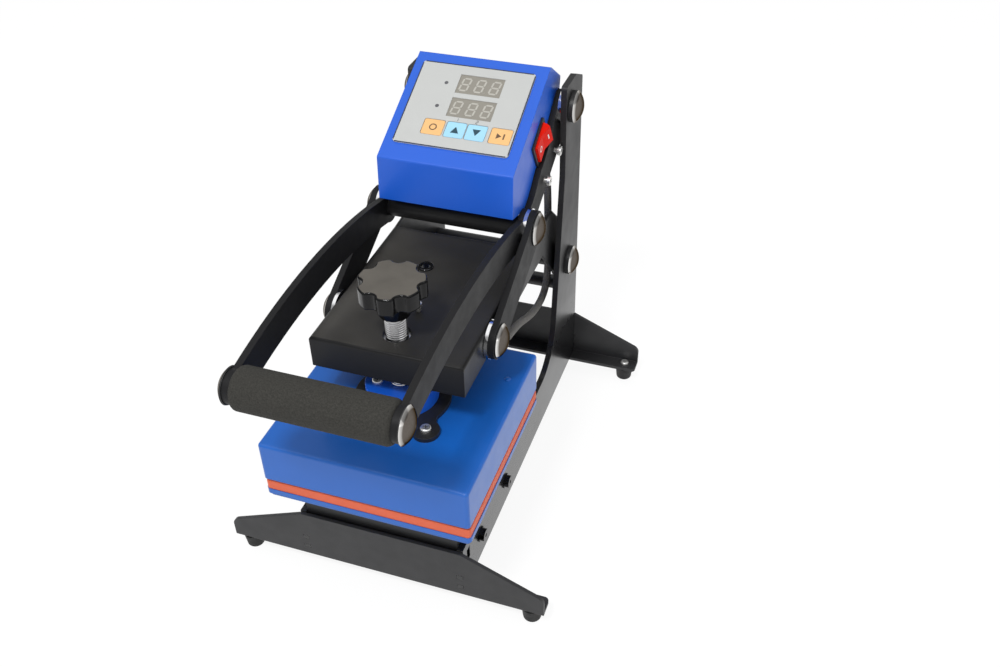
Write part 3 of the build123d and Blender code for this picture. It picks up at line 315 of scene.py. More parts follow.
def new_mesh_object(name, mesh_maker, look, smooth=False):
    """An object whose mesh a function makes, with a finish given by its name."""
    mesh = bpy.data.meshes.new(name)
    bm = bmesh.new()
    mesh_maker(bm)
    bmesh.ops.recalc_face_normals(bm, faces=bm.faces)
    bm.to_mesh(mesh)
    bm.free()
    for face in mesh.polygons:
        face.use_smooth = smooth
    mesh.materials.append(MATERIALS[look])
    return new_object(name, mesh)


def new_piece(name, mesh_maker, matrix, body, look, smooth=False):
    """A rigid piece, made where the matrix puts it and tied to a body."""
    def make_in_place(bm):
        mesh_maker(bm)
        bmesh.ops.transform(bm, matrix=matrix, verts=bm.verts)

    piece = new_mesh_object(name, make_in_place, look, smooth)
    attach(piece, body)
    return piece


def prism(bm, points, low, high):
    """A flat outline given a thickness along Z."""
    bottom = [bm.verts.new((x, y, low)) for x, y in points]
    face = bm.faces.new(bottom)
    top = bmesh.ops.extrude_face_region(bm, geom=[face])["geom"]
    moved = [item for item in top if isinstance(item, bmesh.types.BMVert)]
    bmesh.ops.translate(bm, vec=(0, 0, high - low), verts=moved)


def principled(name):
    """A new node material: (material, node tree, principled shader)."""
    material = bpy.data.materials.new(name)
    material.use_nodes = True
    tree = material.node_tree
    return material, tree, tree.nodes["Principled BSDF"]


def object_coords(tree, scale=1.0, stretch=(1, 1, 1)):
    """Coordinates in metres of the object's own space, scaled."""
    coords = tree.nodes.new("ShaderNodeTexCoord")
    mapping = tree.nodes.new("ShaderNodeMapping")
    mapping.inputs["Scale"].default_value = tuple(scale * part for part in stretch)
    tree.links.new(coords.outputs["Object"], mapping.inputs["Vector"])
    return mapping.outputs["Vector"]


def noise(tree, scale, detail=2.0, stretch=(1, 1, 1), roughness=0.5):
    """A noise texture whose scale is in features per metre."""
    node = tree.nodes.new("ShaderNodeTexNoise")
    node.inputs["Scale"].default_value = 1.0
    node.inputs["Detail"].default_value = detail
    node.inputs["Roughness"].default_value = roughness
    tree.links.new(object_coords(tree, scale, stretch), node.inputs["Vector"])
    return node.outputs["Fac"]


def ramp(tree, source, low, high, start=0.0, end=1.0):
    """Maps a value that runs from start to end onto low to high, and holds it there beyond them."""
    node = tree.nodes.new("ShaderNodeMapRange")
    node.inputs["From Min"].default_value = start
    node.inputs["From Max"].default_value = end
    node.inputs["To Min"].default_value = low
    node.inputs["To Max"].default_value = high
    tree.links.new(source, node.inputs["Value"])
    return node.outputs["Result"]


def mix_colours(tree, fac, first, second):
    """Blends two colours, each given as numbers or as a socket, by a value."""
    node = tree.nodes.new("ShaderNodeMix")
    node.data_type = "RGBA"
    # The mix node has sockets for each kind of value: 6 and 7 take the colours, and 2 gives the result
    for socket, colour in ((node.inputs[6], first), (node.inputs[7], second)):
        if isinstance(colour, bpy.types.NodeSocket):
            tree.links.new(colour, socket)
        else:
            socket.default_value = (*colour, 1)
    tree.links.new(fac, node.inputs[0])
    return node.outputs[2]


def combine(tree, operation, first, second):
    """Arithmetic on two values, the second a number or a socket."""
    node = tree.nodes.new("ShaderNodeMath")
    node.operation = operation
    node.use_clamp = True
    tree.links.new(first, node.inputs[0])
    if isinstance(second, bpy.types.NodeSocket):
        tree.links.new(second, node.inputs[1])
    else:
        node.inputs[1].default_value = second
    return node.outputs["Value"]


def coordinate(tree, kind, axis):
    """One axis of a kind of texture coordinate."""
    coords = tree.nodes.new("ShaderNodeTexCoord")
    parts = tree.nodes.new("ShaderNodeSeparateXYZ")
    tree.links.new(coords.outputs[kind], parts.inputs["Vector"])
    return parts.outputs[axis]


def own_normal(tree, axis):
    """How far a surface faces along an axis of its own piece, either way, from 0 to 1."""
    node = tree.nodes.new("ShaderNodeMath")
    node.operation = "ABSOLUTE"
    tree.links.new(coordinate(tree, "Normal", axis), node.inputs[0])
    return node.outputs["Value"]


def bevelled_normal(tree, radius):
    """The surface's normal, rounded off near sharp edges."""
    bevel = tree.nodes.new("ShaderNodeBevel")
    bevel.samples = BEVEL_SAMPLES
    bevel.inputs["Radius"].default_value = radius
    return bevel.outputs["Normal"]


def edge_mask(tree, radius):
    """1 along sharp edges and 0 on flat faces, broken up a little."""
    flat = tree.nodes.new("ShaderNodeNewGeometry")
    match = tree.nodes.new("ShaderNodeVectorMath")
    match.operation = "DOT_PRODUCT"
    tree.links.new(bevelled_normal(tree, radius), match.inputs[0])
    tree.links.new(flat.outputs["Normal"], match.inputs[1])
    sharp = ramp(tree, match.outputs["Value"], 1.0, 0.0, 0.7, 0.98)
    return combine(tree, "MULTIPLY", sharp, ramp(tree, noise(tree, 260, 3), 0.3, 1.0, 0.35, 0.6))


def add_bump(tree, shader, height, strength, edge=0.0, distance=BUMP_HEIGHT):
    """Bump from a height, with the sharp edges softened where edge is above 0."""
    bump = tree.nodes.new("ShaderNodeBump")
    bump.inputs["Strength"].default_value = strength
    bump.inputs["Distance"].default_value = distance
    tree.links.new(height, bump.inputs["Height"])
    if edge:
        tree.links.new(bevelled_normal(tree, edge), bump.inputs["Normal"])
    tree.links.new(bump.outputs["Normal"], shader.inputs["Normal"])


def tint(colour, factor):
    """The colour made lighter or darker."""
    return tuple(min(part * factor, 1.0) for part in colour)


def mottled(tree, colour, spread, scale=35, detail=3):
    """A colour that wanders a little lighter and darker."""
    return mix_colours(tree, noise(tree, scale, detail), tint(colour, 1 - spread), tint(colour, 1 + spread))


def painted_edge_highlight(tree, shade, colour, edge_highlight, edge):
    """A shade that is paler along the sharp edges, as a painted highlight."""
    # Painted highlight: the colour is lightened along the sharp edges
    highlight_colour = tuple(min(part * edge_highlight + EDGE_HIGHLIGHT_LIFT, 1.0) for part in colour)
    return mix_colours(tree, edge_mask(tree, edge), shade, highlight_colour)


def level_faces(tree):
    """1 on the faces of a piece that look straight up or down, and 0 on its sides."""
    return ramp(tree, own_normal(tree, "Z"), 0.0, 1.0, 0.9, 0.995)


def uneven_gloss(tree, shader, source, low, high):
    """Roughness that follows a noise from a low to a high value."""
    tree.links.new(ramp(tree, source, low, high, 0.3, 0.7), shader.inputs["Roughness"])


def with_painted_sheen(tree, shade, sheen_colour):
    """A shade with a painted sheen in patches on the faces that look up, fainter towards the right."""
    # Painted sheen: lighter patches on the faces that look up, fading along X
    patches = ramp(tree, noise(tree, 14, 3), 0.5, 1.0, 0.35, 0.65)
    thinning = ramp(tree, coordinate(tree, "Object", "X"), 1.0, 0.3, *PAINTED_SHEEN_FADES_X)
    sheen_mask = combine(tree, "MULTIPLY", combine(tree, "MULTIPLY", level_faces(tree), patches), thinning)
    return mix_colours(tree, sheen_mask, shade, sheen_colour)


def coat(
    name, colour, rough, spread, grain, bump=0.05, edge=EDGE_R, gloss=0.0, edge_highlight=1.6, shine=0.5, sheen_colour=None
):
    """Powder coat: orange-peel bump, uneven colour and gloss, a painted highlight along the edges, and a
    painted sheen on the top where asked for.
    """
    material, tree, shader = principled(name)
    # The paler edges are a painted highlight
    shade = painted_edge_highlight(tree, mottled(tree, colour, spread), colour, edge_highlight, edge)
    # Where asked for, a painted sheen lightens the faces that look up
    if sheen_colour:
        shade = with_painted_sheen(tree, shade, sheen_colour)
    tree.links.new(shade, shader.inputs["Base Color"])
    uneven_gloss(tree, shader, noise(tree, 90, 2), rough * 0.92, rough * 1.08)
    add_bump(tree, shader, noise(tree, grain, 2), bump, edge)
    shader.inputs["Specular IOR Level"].default_value = shine
    shader.inputs["Coat Weight"].default_value = gloss
    shader.inputs["Coat Roughness"].default_value = 0.15
    return material


def rubbed_coat(name, colour, low, high):
    """Powder coat rubbed smoother towards its foot: one roughness near the table, another above."""
    material, tree, shader = principled(name)
    # The paler edges are a painted highlight
    shade = painted_edge_highlight(tree, mottled(tree, colour, 0.12), colour, 2.2, EDGE_R)
    tree.links.new(shade, shader.inputs["Base Color"])
    smooth = ramp(tree, coordinate(tree, "Object", "Z"), low, high, RUBBED_TO_Z, PLAIN_FROM_Z)
    uneven = combine(tree, "MULTIPLY", smooth, ramp(tree, noise(tree, 60, 4), 0.85, 1.0, 0.3, 0.7))
    tree.links.new(uneven, shader.inputs["Roughness"])
    add_bump(tree, shader, noise(tree, 800, 2), 0.05, EDGE_R)
    return material


def metal(name, colour, rough, scratch=(1, 1, 1)):
    """Metal with a fine uneven polish, whose streaks are squeezed along the axes with a factor above 1."""
    material, tree, shader = principled(name)
    shader.inputs["Metallic"].default_value = 1.0
    streak = noise(tree, 900, 3, scratch)
    shade = mix_colours(tree, streak, tint(colour, 0.9), tint(colour, 1.05))
    tree.links.new(shade, shader.inputs["Base Color"])
    uneven_gloss(tree, shader, streak, rough * 0.7, rough * 1.4)
    add_bump(tree, shader, streak, 0.03, distance=0.0001)
    return material


def dome_with_painted_reflection(name, rim, dark_crown_reflection):
    """Pressed cap: a bright rim and a dark middle painted in as its reflections, with fine polish."""
    material, tree, shader = principled(name)
    shader.inputs["Metallic"].default_value = 1.0
    shader.inputs["Specular Tint"].default_value = (0.28, 0.26, 0.24, 1)
    # Painted reflection: bright towards the rim and dark over the middle, by which way the surface faces
    painted_reflection_mask = ramp(tree, own_normal(tree, "X"), 0.0, 1.0, 0.7, 0.79)
    shade = mix_colours(tree, painted_reflection_mask, rim, dark_crown_reflection)
    streak = noise(tree, 1200, 3)
    shade = mix_colours(tree, ramp(tree, streak, 0.0, 0.1), shade, tint(rim, 0.8))
    tree.links.new(shade, shader.inputs["Base Color"])
    uneven_gloss(tree, shader, streak, 0.05, 0.12)
    add_bump(tree, shader, streak, 0.02, distance=0.0001)
    return material


def knob_plastic(name, colour, top):
    """Glossy moulded black with a paler top painted in as its sheen, in patches."""
    material, tree, shader = principled(name)
    # Painted sheen: the faces that look up are lighter, in patches
    top_sheen_mask = combine(tree, "MULTIPLY", level_faces(tree), ramp(tree, noise(tree, 45, 3), 0.75, 1.0, 0.3, 0.7))
    tree.links.new(mix_colours(tree, top_sheen_mask, colour, top), shader.inputs["Base Color"])
    uneven_gloss(tree, shader, noise(tree, 150, 3), 0.1, 0.18)
    add_bump(tree, shader, noise(tree, 400, 2), 0.02, 0.0008)
    shader.inputs["Specular IOR Level"].default_value = 0.25
    return material


def plastic(name, colour, rough, grain=2500, bump=0.05, spread=0.04, edge=0.0004, shine=0.5):
    """Moulded plastic or rubber with a fine grain."""
    material, tree, shader = principled(name)
    tree.links.new(mottled(tree, colour, spread, 60, 2), shader.inputs["Base Color"])
    uneven_gloss(tree, shader, noise(tree, 200, 3), rough * 0.88, rough * 1.12)
    add_bump(tree, shader, noise(tree, grain, 2), bump, edge)
    shader.inputs["Specular IOR Level"].default_value = shine
    return material


def print_ink(name, colour, grain=2600, rough=0.5, spread=0.05):
    """A printed mark: plastic with no softened edges."""
    return plastic(name, colour, rough, grain, 0.03, spread, 0.0)


def cellular_foam(name, colour):
    """Closed-cell foam: tiny cells and pale specks of dirt in them."""
    material, tree, shader = principled(name)
    cells = tree.nodes.new("ShaderNodeTexVoronoi")
    cells.inputs["Scale"].default_value = 1.0
    tree.links.new(object_coords(tree, 1400), cells.inputs["Vector"])
    speck = ramp(tree, noise(tree, 900, 4, roughness=0.7), 0, 1, 0.35, 0.75)
    shade = mix_colours(tree, speck, tint(colour, 0.75), tint(colour, 1.55))
    tree.links.new(shade, shader.inputs["Base Color"])
    shader.inputs["Roughness"].default_value = 0.92
    shader.inputs["Specular IOR Level"].default_value = 0.3
    add_bump(tree, shader, cells.outputs["Distance"], 0.5, distance=0.0004)
    return material


def braid(name, colour):
    """Braided sleeve of a lead."""
    material, tree, shader = principled(name)
    coords = tree.nodes.new("ShaderNodeTexCoord")
    weave = tree.nodes.new("ShaderNodeTexChecker")
    weave.inputs["Scale"].default_value = 900
    weave.inputs["Color1"].default_value = (*tint(colour, 1.7), 1)
    weave.inputs["Color2"].default_value = (*tint(colour, 0.6), 1)
    tree.links.new(coords.outputs["Object"], weave.inputs["Vector"])
    tree.links.new(weave.outputs["Color"], shader.inputs["Base Color"])
    shader.inputs["Roughness"].default_value = 0.75
    add_bump(tree, shader, weave.outputs["Fac"], 0.35)
    return material


def make_coats(paint):
    """Powder coats, blue and black."""
    blue = tuple(paint.blue)
    cover = tuple(paint.cover)
    black = tuple(paint.black)
    rough_black = {"grain": 800, "bump": 0.08}
    # The edge factors of the coats set how much their edges are lightened as a painted highlight
    MATERIALS.update(
        box_blue=coat("box_blue", blue, 0.42, 0.04, 700, edge=0.0009, gloss=0.1, edge_highlight=1.5),
        cover_blue=coat("cover_blue", cover, 0.3, 0.04, 700, bump=0.02, edge=0.0009, edge_highlight=1.15),
        disc_blue=coat("disc_blue", blue, 0.4, 0.06, 650, gloss=0.1),
        black_coat=coat("black_coat", black, 0.42, 0.12, edge_highlight=2.2, **rough_black),
        side_coat=rubbed_coat("side_coat", black, 0.24, 0.56),
        lever_coat=coat("lever_coat", black, 0.52, 0.15, edge_highlight=2.6, shine=0.18, **rough_black),
        # The arm's coat also has a painted sheen on its top faces
        arm_coat=coat(
            "arm_coat", tint(black, 0.8), 0.36, 0.15, 650,
            bump=0.06, edge=0.0009, edge_highlight=1.2, shine=0.2, sheen_colour=PAINTED_SHEEN,
        ),
        foot_coat=coat("foot_coat", tint(black, 1.6), 0.5, 0.15, edge_highlight=2.4, **rough_black),
    )


def make_metals():
    """Polished, plated and plain metals."""
    MATERIALS.update(
        chrome=metal("polished_chrome", (0.86, 0.86, 0.87), 0.09),
        # The cap domes carry a painted reflection, bright at the rim and dark in the middle
        dome=dome_with_painted_reflection("cap_dome_painted_reflection", (0.9, 0.89, 0.87), (0.1, 0.085, 0.072)),
        zinc=metal("zinc_screw", (0.82, 0.82, 0.8), 0.4),
        steel=metal("steel", (0.58, 0.58, 0.59), 0.28, (8, 1, 1)),
        thread=metal("thread_steel", (0.66, 0.66, 0.67), 0.16, (1, 1, 6)),
        bolt=metal("black_bolt", (0.05, 0.05, 0.052), 0.25),
        aluminium=metal("heater_aluminium", (0.72, 0.72, 0.73), 0.3, (1, 8, 1)),
    )


def make_plastics(paint):
    """Rubbers, foam, plastics and the lead's sleeve."""
    MATERIALS.update(
        silicone=plastic("silicone", tuple(paint.pad), 0.55, 1500, bump=0.15, spread=0.05),
        foam=cellular_foam("foam", tuple(paint.foam)),
        rubber=plastic("foot_rubber", (0.014, 0.014, 0.014), 0.7, 1800, bump=0.2, spread=0.1),
        # The knob's paler top colour is a painted sheen
        knob=knob_plastic("knob_plastic", (0.005, 0.005, 0.0055), (0.125, 0.115, 0.1)),
        gloss_black=plastic("gloss_black", (0.008, 0.008, 0.009), 0.16, 900, bump=0.02),
        black_plastic=plastic("black_plastic", (0.014, 0.014, 0.015), 0.45, 2200, bump=0.08),
        red=plastic("rocker_red", tuple(paint.red), 0.4, 900, 0.03, 0.06, 0.0005, shine=0.04),
        lamp=plastic("lamp_lens", (0.1, 0.1, 0.11), 0.2, 900, 0.02, 0.06, 0.0002),
        board=plastic("circuit_board", (0.02, 0.13, 0.05), 0.4, 900, bump=0.03),
        insulation=plastic("insulation", (0.7, 0.68, 0.62), 0.9, 1200, bump=0.3),
        # The cross recesses are painted dark as their shade
        recess=plastic("recess_painted_shade", (0.06, 0.06, 0.062), 0.5, 900, spread=0.1, edge=0.0),
        sleeve=braid("braided_sleeve", (0.15, 0.144, 0.135)),
    )


def make_panel_finishes(paint):
    """Film, displays, keys and every printed mark."""
    MATERIALS.update(
        film=plastic("panel_film", tuple(paint.film), 0.42, 2600, 0.04, 0.03, 0.0002),
        display=plastic("display_face", (0.26, 0.245, 0.21), 0.25, 1500, 0.02, 0.05, 0.0002),
        segment=plastic("display_segment", (0.46, 0.445, 0.4), 0.3, 1500, 0.02, edge=0.0),
        orange=plastic("key_orange", tuple(paint.orange), 0.45, 2600, edge=0.0003),
        sky=plastic("key_light_blue", tuple(paint.sky), 0.45, 2600, edge=0.0003),
        teal=print_ink("key_mark", (0.01, 0.055, 0.085)),
        brown=print_ink("key_sign", (0.12, 0.07, 0.035)),
        ink=print_ink("panel_ink", (0.015, 0.022, 0.05)),
        grey_ink=print_ink("grey_ink", (0.14, 0.14, 0.15)),
        mark=print_ink("rocker_mark", (0.8, 0.8, 0.8), grain=900, rough=0.4, spread=0.03),
    )


FINISH_OF_NODE = {
    "box_blue": ("box_shell", "box_base"),
    "cover_blue": ("platen_cover", "lower_platen"),
    "disc_blue": ("adapter_disc",),
    "black_coat": ("rear_cross_bar", "base_channel", "toggle_tube", "rear_tube", "mounting_spider"),
    "side_coat": ("side_plate_left", "side_plate_right"),
    "lever_coat": ("lever_left", "lever_right", "toggle_links"),
    "foot_coat": ("front_foot", "rear_foot"),
    "arm_coat": ("press_arm",),
    "chrome": ("lever_washers", "link_washers"),
    "zinc": ("foot_screws", "lock_screw", "head_screws", "box_screws"),
    "dome": ("lever_cap_domes", "link_cap_domes", "rear_cap_domes"),
    "thread": ("threaded_stem",),
    "bolt": ("side_bolts",),
    "steel": ("grip_bar", "upper_pivot_pins", "toggle_shaft", "link_pins", "thread_bush", "rear_shaft"),
    "aluminium": ("heating_plate",),
    "silicone": ("silicone_pad",),
    "foam": ("foam_grip",),
    "rubber": ("rubber_feet",),
    "gloss_black": ("arm_grommet",),
    "knob": ("star_knob",),
    "black_plastic": (
        "lever_collars", "link_collars", "rear_collars", "rocker_bezel", "box_gland", "platen_gland",
    ),
    "film": ("panel_overlay",),
    "display": ("upper_display", "lower_display"),
    "lamp": ("panel_lamps",),
    "board": ("control_board",),
    "orange": ("key_left", "key_right"),
    "sky": ("key_up", "key_down"),
    "red": ("rocker",),
    "insulation": ("insulation_board",),
    "sleeve": ("heater_lead",),
}


class PRESS_OT_finishes(bpy.types.Operator):
    """Makes the finishes and puts them on the CAD pieces"""

    bl_idname = "press.finishes"
    bl_label = "Finishes"

    def execute(self, context):
        paint = context.scene.press_paint
        make_coats(paint)
        make_metals()
        make_plastics(paint)
        make_panel_finishes(paint)
        for name, nodes in FINISH_OF_NODE.items():
            for node in nodes:
                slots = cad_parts[node].material_slots
                if not slots:
                    raise RuntimeError(f"{node} has no material slot")
                for slot in slots:
                    slot.material = MATERIALS[name]
        return {"FINISHED"}


def join(bm, first, second):
    """Faces between two closed loops with as many points."""
    count = len(first)
    for side in range(count):
        after = (side + 1) % count
        bm.faces.new((first[side], first[after], second[after], second[side]))


def closed_ring(bm, loops):
    """Faces between each closed loop and the next, and between the last and the first."""
    for first, second in zip(loops, loops[1:] + loops[:1]):
        join(bm, first, second)


def capped_tube(bm, loops):
    """Faces between each closed loop and the next, and over the first and the last."""
    for first, second in zip(loops, loops[1:]):
        join(bm, first, second)
    bm.faces.new(loops[0])
    bm.faces.new(loops[-1])


def ring(bm, outer, inner, low, high, sides=28):
    """A flat ring with a thickness along Z."""
    turns = [2 * math.pi * side / sides for side in range(sides)]
    loops = []
    for radius, z in ((outer, low), (outer, high), (inner, high), (inner, low)):
        loops.append([bm.verts.new((radius * math.cos(turn), radius * math.sin(turn), z)) for turn in turns])
    closed_ring(bm, loops)


def lathe(bm, rows, sides, turned=None):
    """A turned shape on the Z axis from rows of (height, radius), closed at both ends."""
    loops = []
    for z, radius in rows:
        loop = []
        for side in range(sides):
            angle = 2 * math.pi * side / sides
            reach = turned(z, side / sides, radius) if turned else radius
            loop.append(bm.verts.new((reach * math.cos(angle), reach * math.sin(angle), z)))
        loops.append(loop)
    capped_tube(bm, loops)


def rounded(x, low_y, high_y, corner, steps=6):
    """Outline of a rectangle that is symmetric in X, with round corners."""
    side, high, low = x - corner, high_y - corner, low_y + corner
    points = []
    for quarter, (mid_x, mid_y) in enumerate(((side, high), (-side, high), (-side, low), (side, low))):
        for step in range(steps + 1):
            angle = (quarter + step / steps) * math.pi / 2
            points.append((mid_x + corner * math.cos(angle), mid_y + corner * math.sin(angle)))
    return points


def cross(bm, width, low, high):
    """A cross recess with tapered arms."""
    outer, inner, tip = width / 2, width * 0.1, width * 0.06
    corners = [Vector((outer, -tip)), Vector((outer, tip)), Vector((inner, inner))]
    points = []
    for quarter in range(4):
        turn = Matrix.Rotation(quarter * math.pi / 2, 2)
        points += [tuple(turn @ corner) for corner in corners]
    prism(bm, points, low, high)


def bar(bm, x, y, width, height, low, high):
    """A small rectangle round a middle, with a thickness along Z."""
    half_w, half_h = width / 2, height / 2
    corners = ((-half_w, -half_h), (half_w, -half_h), (half_w, half_h), (-half_w, half_h))
    prism(bm, [(x + dx, y + dy) for dx, dy in corners], low, high)


def segment_shapes(width, height, thick):
    """Outlines of the seven segments of a digit, centred on it, each a bar with pointed ends."""
    gap = thick * SEGMENT_GAP
    cut = thick / 2
    shapes = []
    for level in (-1, 0, 1):
        y = level * height / 2
        left, right = gap - width / 2, width / 2 - gap
        lower_side = [(left + cut, y - cut), (right - cut, y - cut)]
        upper_side = [(right - cut, y + cut), (left + cut, y + cut)]
        shapes.append([(left, y), *lower_side, (right, y), *upper_side])
    for side in (-1, 1):
        for level in (-1, 1):
            x = side * width / 2
            low, high = (level - 1) * height / 4 + gap, (level + 1) * height / 4 - gap
            right_side = [(x + cut, low + cut), (x + cut, high - cut)]
            left_side = [(x - cut, high - cut), (x - cut, low + cut)]
            shapes.append([(x, low), *right_side, (x, high), *left_side])
    return shapes


class PRESS_OT_panel(bpy.types.Operator):
    """Adds the outline, the display segments and the key signs"""

    bl_idname = "press.panel"
    bl_label = "Panel"

    def execute(self, context):
        detail = context.scene.press_detail
        self.add_outline(detail)
        self.add_segments(detail)
        self.add_signs(detail)
        return {"FINISHED"}

    def add_outline(self, detail):
        """Dark line printed round the edge of the film."""
        width = detail.outline_width
        x0, x1 = (x * MM for x in LABEL_X)
        s0, s1 = (s * MM for s in LABEL_S)
        across, up = (end - start - OUTLINE_SHORTER * MM for start, end in ((x0, x1), (s0, s1)))

        def make(bm):
            for s in (s0 + width / 2, s1 - width / 2):
                bar(bm, (x0 + x1) / 2, s, across, width, 0, detail.print_height)
            for x in (x0 + width / 2, x1 - width / 2):
                bar(bm, x, (s0 + s1) / 2, width, up, 0, detail.print_height)

        new_piece("panel_outline", make, slope_matrix(0, 0), "lever", "ink")

    def add_segments(self, detail):
        """Unlit segments on both displays."""
        pitch = DISPLAY_SIZE[0] * MM / detail.digits
        shapes = segment_shapes(*metres(DIGIT_SIZE), detail.segment_width)

        def make(bm):
            for index in range(detail.digits):
                middle = (index - (detail.digits - 1) / 2) * pitch
                for shape in shapes:
                    leaned = [(middle + x + y * DIGIT_LEAN, y) for x, y in shape]
                    prism(bm, leaned, 0, detail.print_height)

        for name, s in zip(("lower_digits", "upper_digits"), DISPLAY_LOW_S):
            matrix = slope_matrix(DISPLAY_MID_X, s + DISPLAY_SIZE[1] / 2, DISPLAY_LIFT)
            new_piece(name, make, matrix, "lever", "segment")

    def add_signs(self, detail):
        """Arrows on the two middle keys, a ring and a start sign on the outer ones, and two numbers."""
        height = detail.print_height
        half, rise = metres((ARROW_HALF, ARROW_RISE))

        def arrow_up(bm):
            prism(bm, [(-half, -rise), (half, -rise), (0, rise)], 0, height)

        def arrow_down(bm):
            prism(bm, [(-half, rise), (half, rise), (0, -rise)], 0, height)

        def loop(bm):
            ring(bm, *metres(RING_SIGN_R), 0, height)

        def start(bm):
            prism(bm, [metres(corner) for corner in WEDGE], 0, height)
            bar(bm, WEDGE_BAR_X * MM, 0, *metres(WEDGE_BAR), 0, height)

        signs = (
            ("key_up", arrow_up, "teal"), ("key_down", arrow_down, "teal"),
            ("key_left", loop, "brown"), ("key_right", start, "brown"),
        )
        for name, make, look in signs:
            matrix = slope_matrix(KEY_MIDS[name], KEY_S)
            new_piece(f"{name}_sign", make, matrix, name, look)
        self.add_numbers(height)

    def add_numbers(self, height):
        """The plain numbers under the lower display."""
        shapes = segment_shapes(*metres(NUMBER_SIZE), NUMBER_STROKE * MM)
        for number, lit in SEGMENTS_OF.items():
            def digit(bm, lit=lit):
                for index in lit:
                    prism(bm, shapes[index], 0, height)

            matrix = slope_matrix(NUMBER_X[number], NUMBER_S)
            new_piece(f"number_{number}", digit, matrix, "lever", "grey_ink")


def landed(node, start, way):
    """Where a line first meets a CAD piece, and the way that its surface faces there."""
    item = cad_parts[node]
    turn = item.matrix_world
    back = turn.inverted()
    hit, place, normal, _ = item.ray_cast(back @ start, back.to_3x3() @ way)
    if not hit:
        raise RuntimeError(f"nothing of {node} lies there")
    return turn @ place, (turn.to_3x3() @ normal).normalized()


def landed_from_above(node, middle):
    """Where a CAD piece's top is, over a point in millimetres."""
    x, y = metres(middle)
    return landed(node, Vector((x, y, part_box(node)[1][2] + PROBE_CLEAR * MM)), Vector((0, 0, -1)))


def landed_from_side(node, side, y, z):
    """Where a CAD piece's left (-1) or right (1) face is, at a height in millimetres."""
    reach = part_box(node)[1][0] + PROBE_CLEAR * MM
    return landed(node, Vector((side * reach, *metres((y, z)))), Vector((-side, 0, 0)))


def facing(place, normal, across):
    """A matrix on a surface: local Z out of it, and local X as near to a direction as it goes."""
    side = (across - normal * across.dot(normal)).normalized()
    return Matrix.Translation(place) @ Matrix((side, normal.cross(side), normal)).transposed().to_4x4()


class PRESS_OT_screws(bpy.types.Operator):
    """Adds the cross recesses of the screws and the rivets of the cover"""

    bl_idname = "press.screws"
    bl_label = "Screws"

    def execute(self, context):
        detail = context.scene.press_detail
        tops = [("spider", "head_screws", "head", at) for at in SPIDER_SCREWS]
        tops += [("disc", "head_screws", "head", at) for at in DISC_SCREWS]
        tops.append(("lock", "lock_screw", "arm", LOCK_SCREW))
        for index, (name, node, body, middle) in enumerate(tops):
            matrix = facing(*landed_from_above(node, middle), CROSS_TURN)
            self.add_cross(f"{name}_recess_{index}", matrix, body, detail)
        for index, (y, z) in enumerate(BOX_SCREWS):
            for side, word in ((-1, "left"), (1, "right")):
                matrix = facing(*landed_from_side("box_screws", side, y, z), BOX_CROSS_TURN)
                self.add_cross(f"box_recess_{word}_{index}", matrix, "lever", detail)
        for index, middle in enumerate(COVER_RIVETS):
            matrix = facing(*landed_from_above("platen_cover", middle), CROSS_TURN)
            new_piece(f"cover_rivet_{index}", self.rivet, matrix, "head", "cover_blue", True)
        return {"FINISHED"}

    def add_cross(self, name, matrix, body, detail):
        """One cross recess in the face of a screw's head, painted dark as its shade."""
        def make(bm):
            cross(bm, detail.recess, -RECESS_SUNK * MM, detail.print_height)

        new_piece(name, make, matrix, body, "recess")

    @staticmethod
    def rivet(bm):
        """A low round head."""
        lathe(bm, [metres(row) for row in RIVET_ROWS], RIVET_SIDES)


class PRESS_OT_tray(bpy.types.Operator):
    """Adds the rim of the lower platen's tray, which holds the foot of the pad"""

    bl_idname = "press.tray"
    bl_label = "Platen tray"

    def execute(self, context):
        low_y, high_y = TRAY_Y
        low_z, high_z = TRAY_Z
        inner = rounded(TRAY_X, low_y, high_y, TRAY_CORNER)
        outer = rounded(TRAY_X + TRAY_WALL, low_y - TRAY_WALL, high_y + TRAY_WALL, TRAY_CORNER + TRAY_WALL)

        def make(bm):
            loops = []
            for outline, z in ((outer, low_z), (outer, high_z), (inner, high_z), (inner, low_z)):
                loops.append([bm.verts.new(metres((x, y, z))) for x, y in outline])
            closed_ring(bm, loops)

        new_piece("tray_rim", make, Matrix.Identity(4), "frame", "cover_blue")
        return {"FINISHED"}


class PRESS_OT_rocker(bpy.types.Operator):
    """Adds the plain on and off marks of the power rocker"""

    bl_idname = "press.rocker"
    bl_label = "Rocker marks"

    def execute(self, context):
        height = context.scene.press_detail.print_height
        along = Vector((0, math.cos(ROCKER_TILT), math.sin(ROCKER_TILT)))

        def on_mark(bm):
            bar(bm, 0, 0, *metres(ON_BAR), -MARK_SUNK * MM, height)

        def off_mark(bm):
            ring(bm, *metres(OFF_RING_R), -MARK_SUNK * MM, height)

        for name, make, side in (("on_mark", on_mark, 1), ("off_mark", off_mark, -1)):
            y = ROCKER_AT[0] + along.y * side * ROCKER_MARK_OUT
            z = ROCKER_AT[1] + along.z * side * ROCKER_MARK_OUT
            matrix = facing(*landed_from_side("rocker", 1, y, z), along)
            new_piece(name, make, matrix, "rocker", "mark")
        return {"FINISHED"}


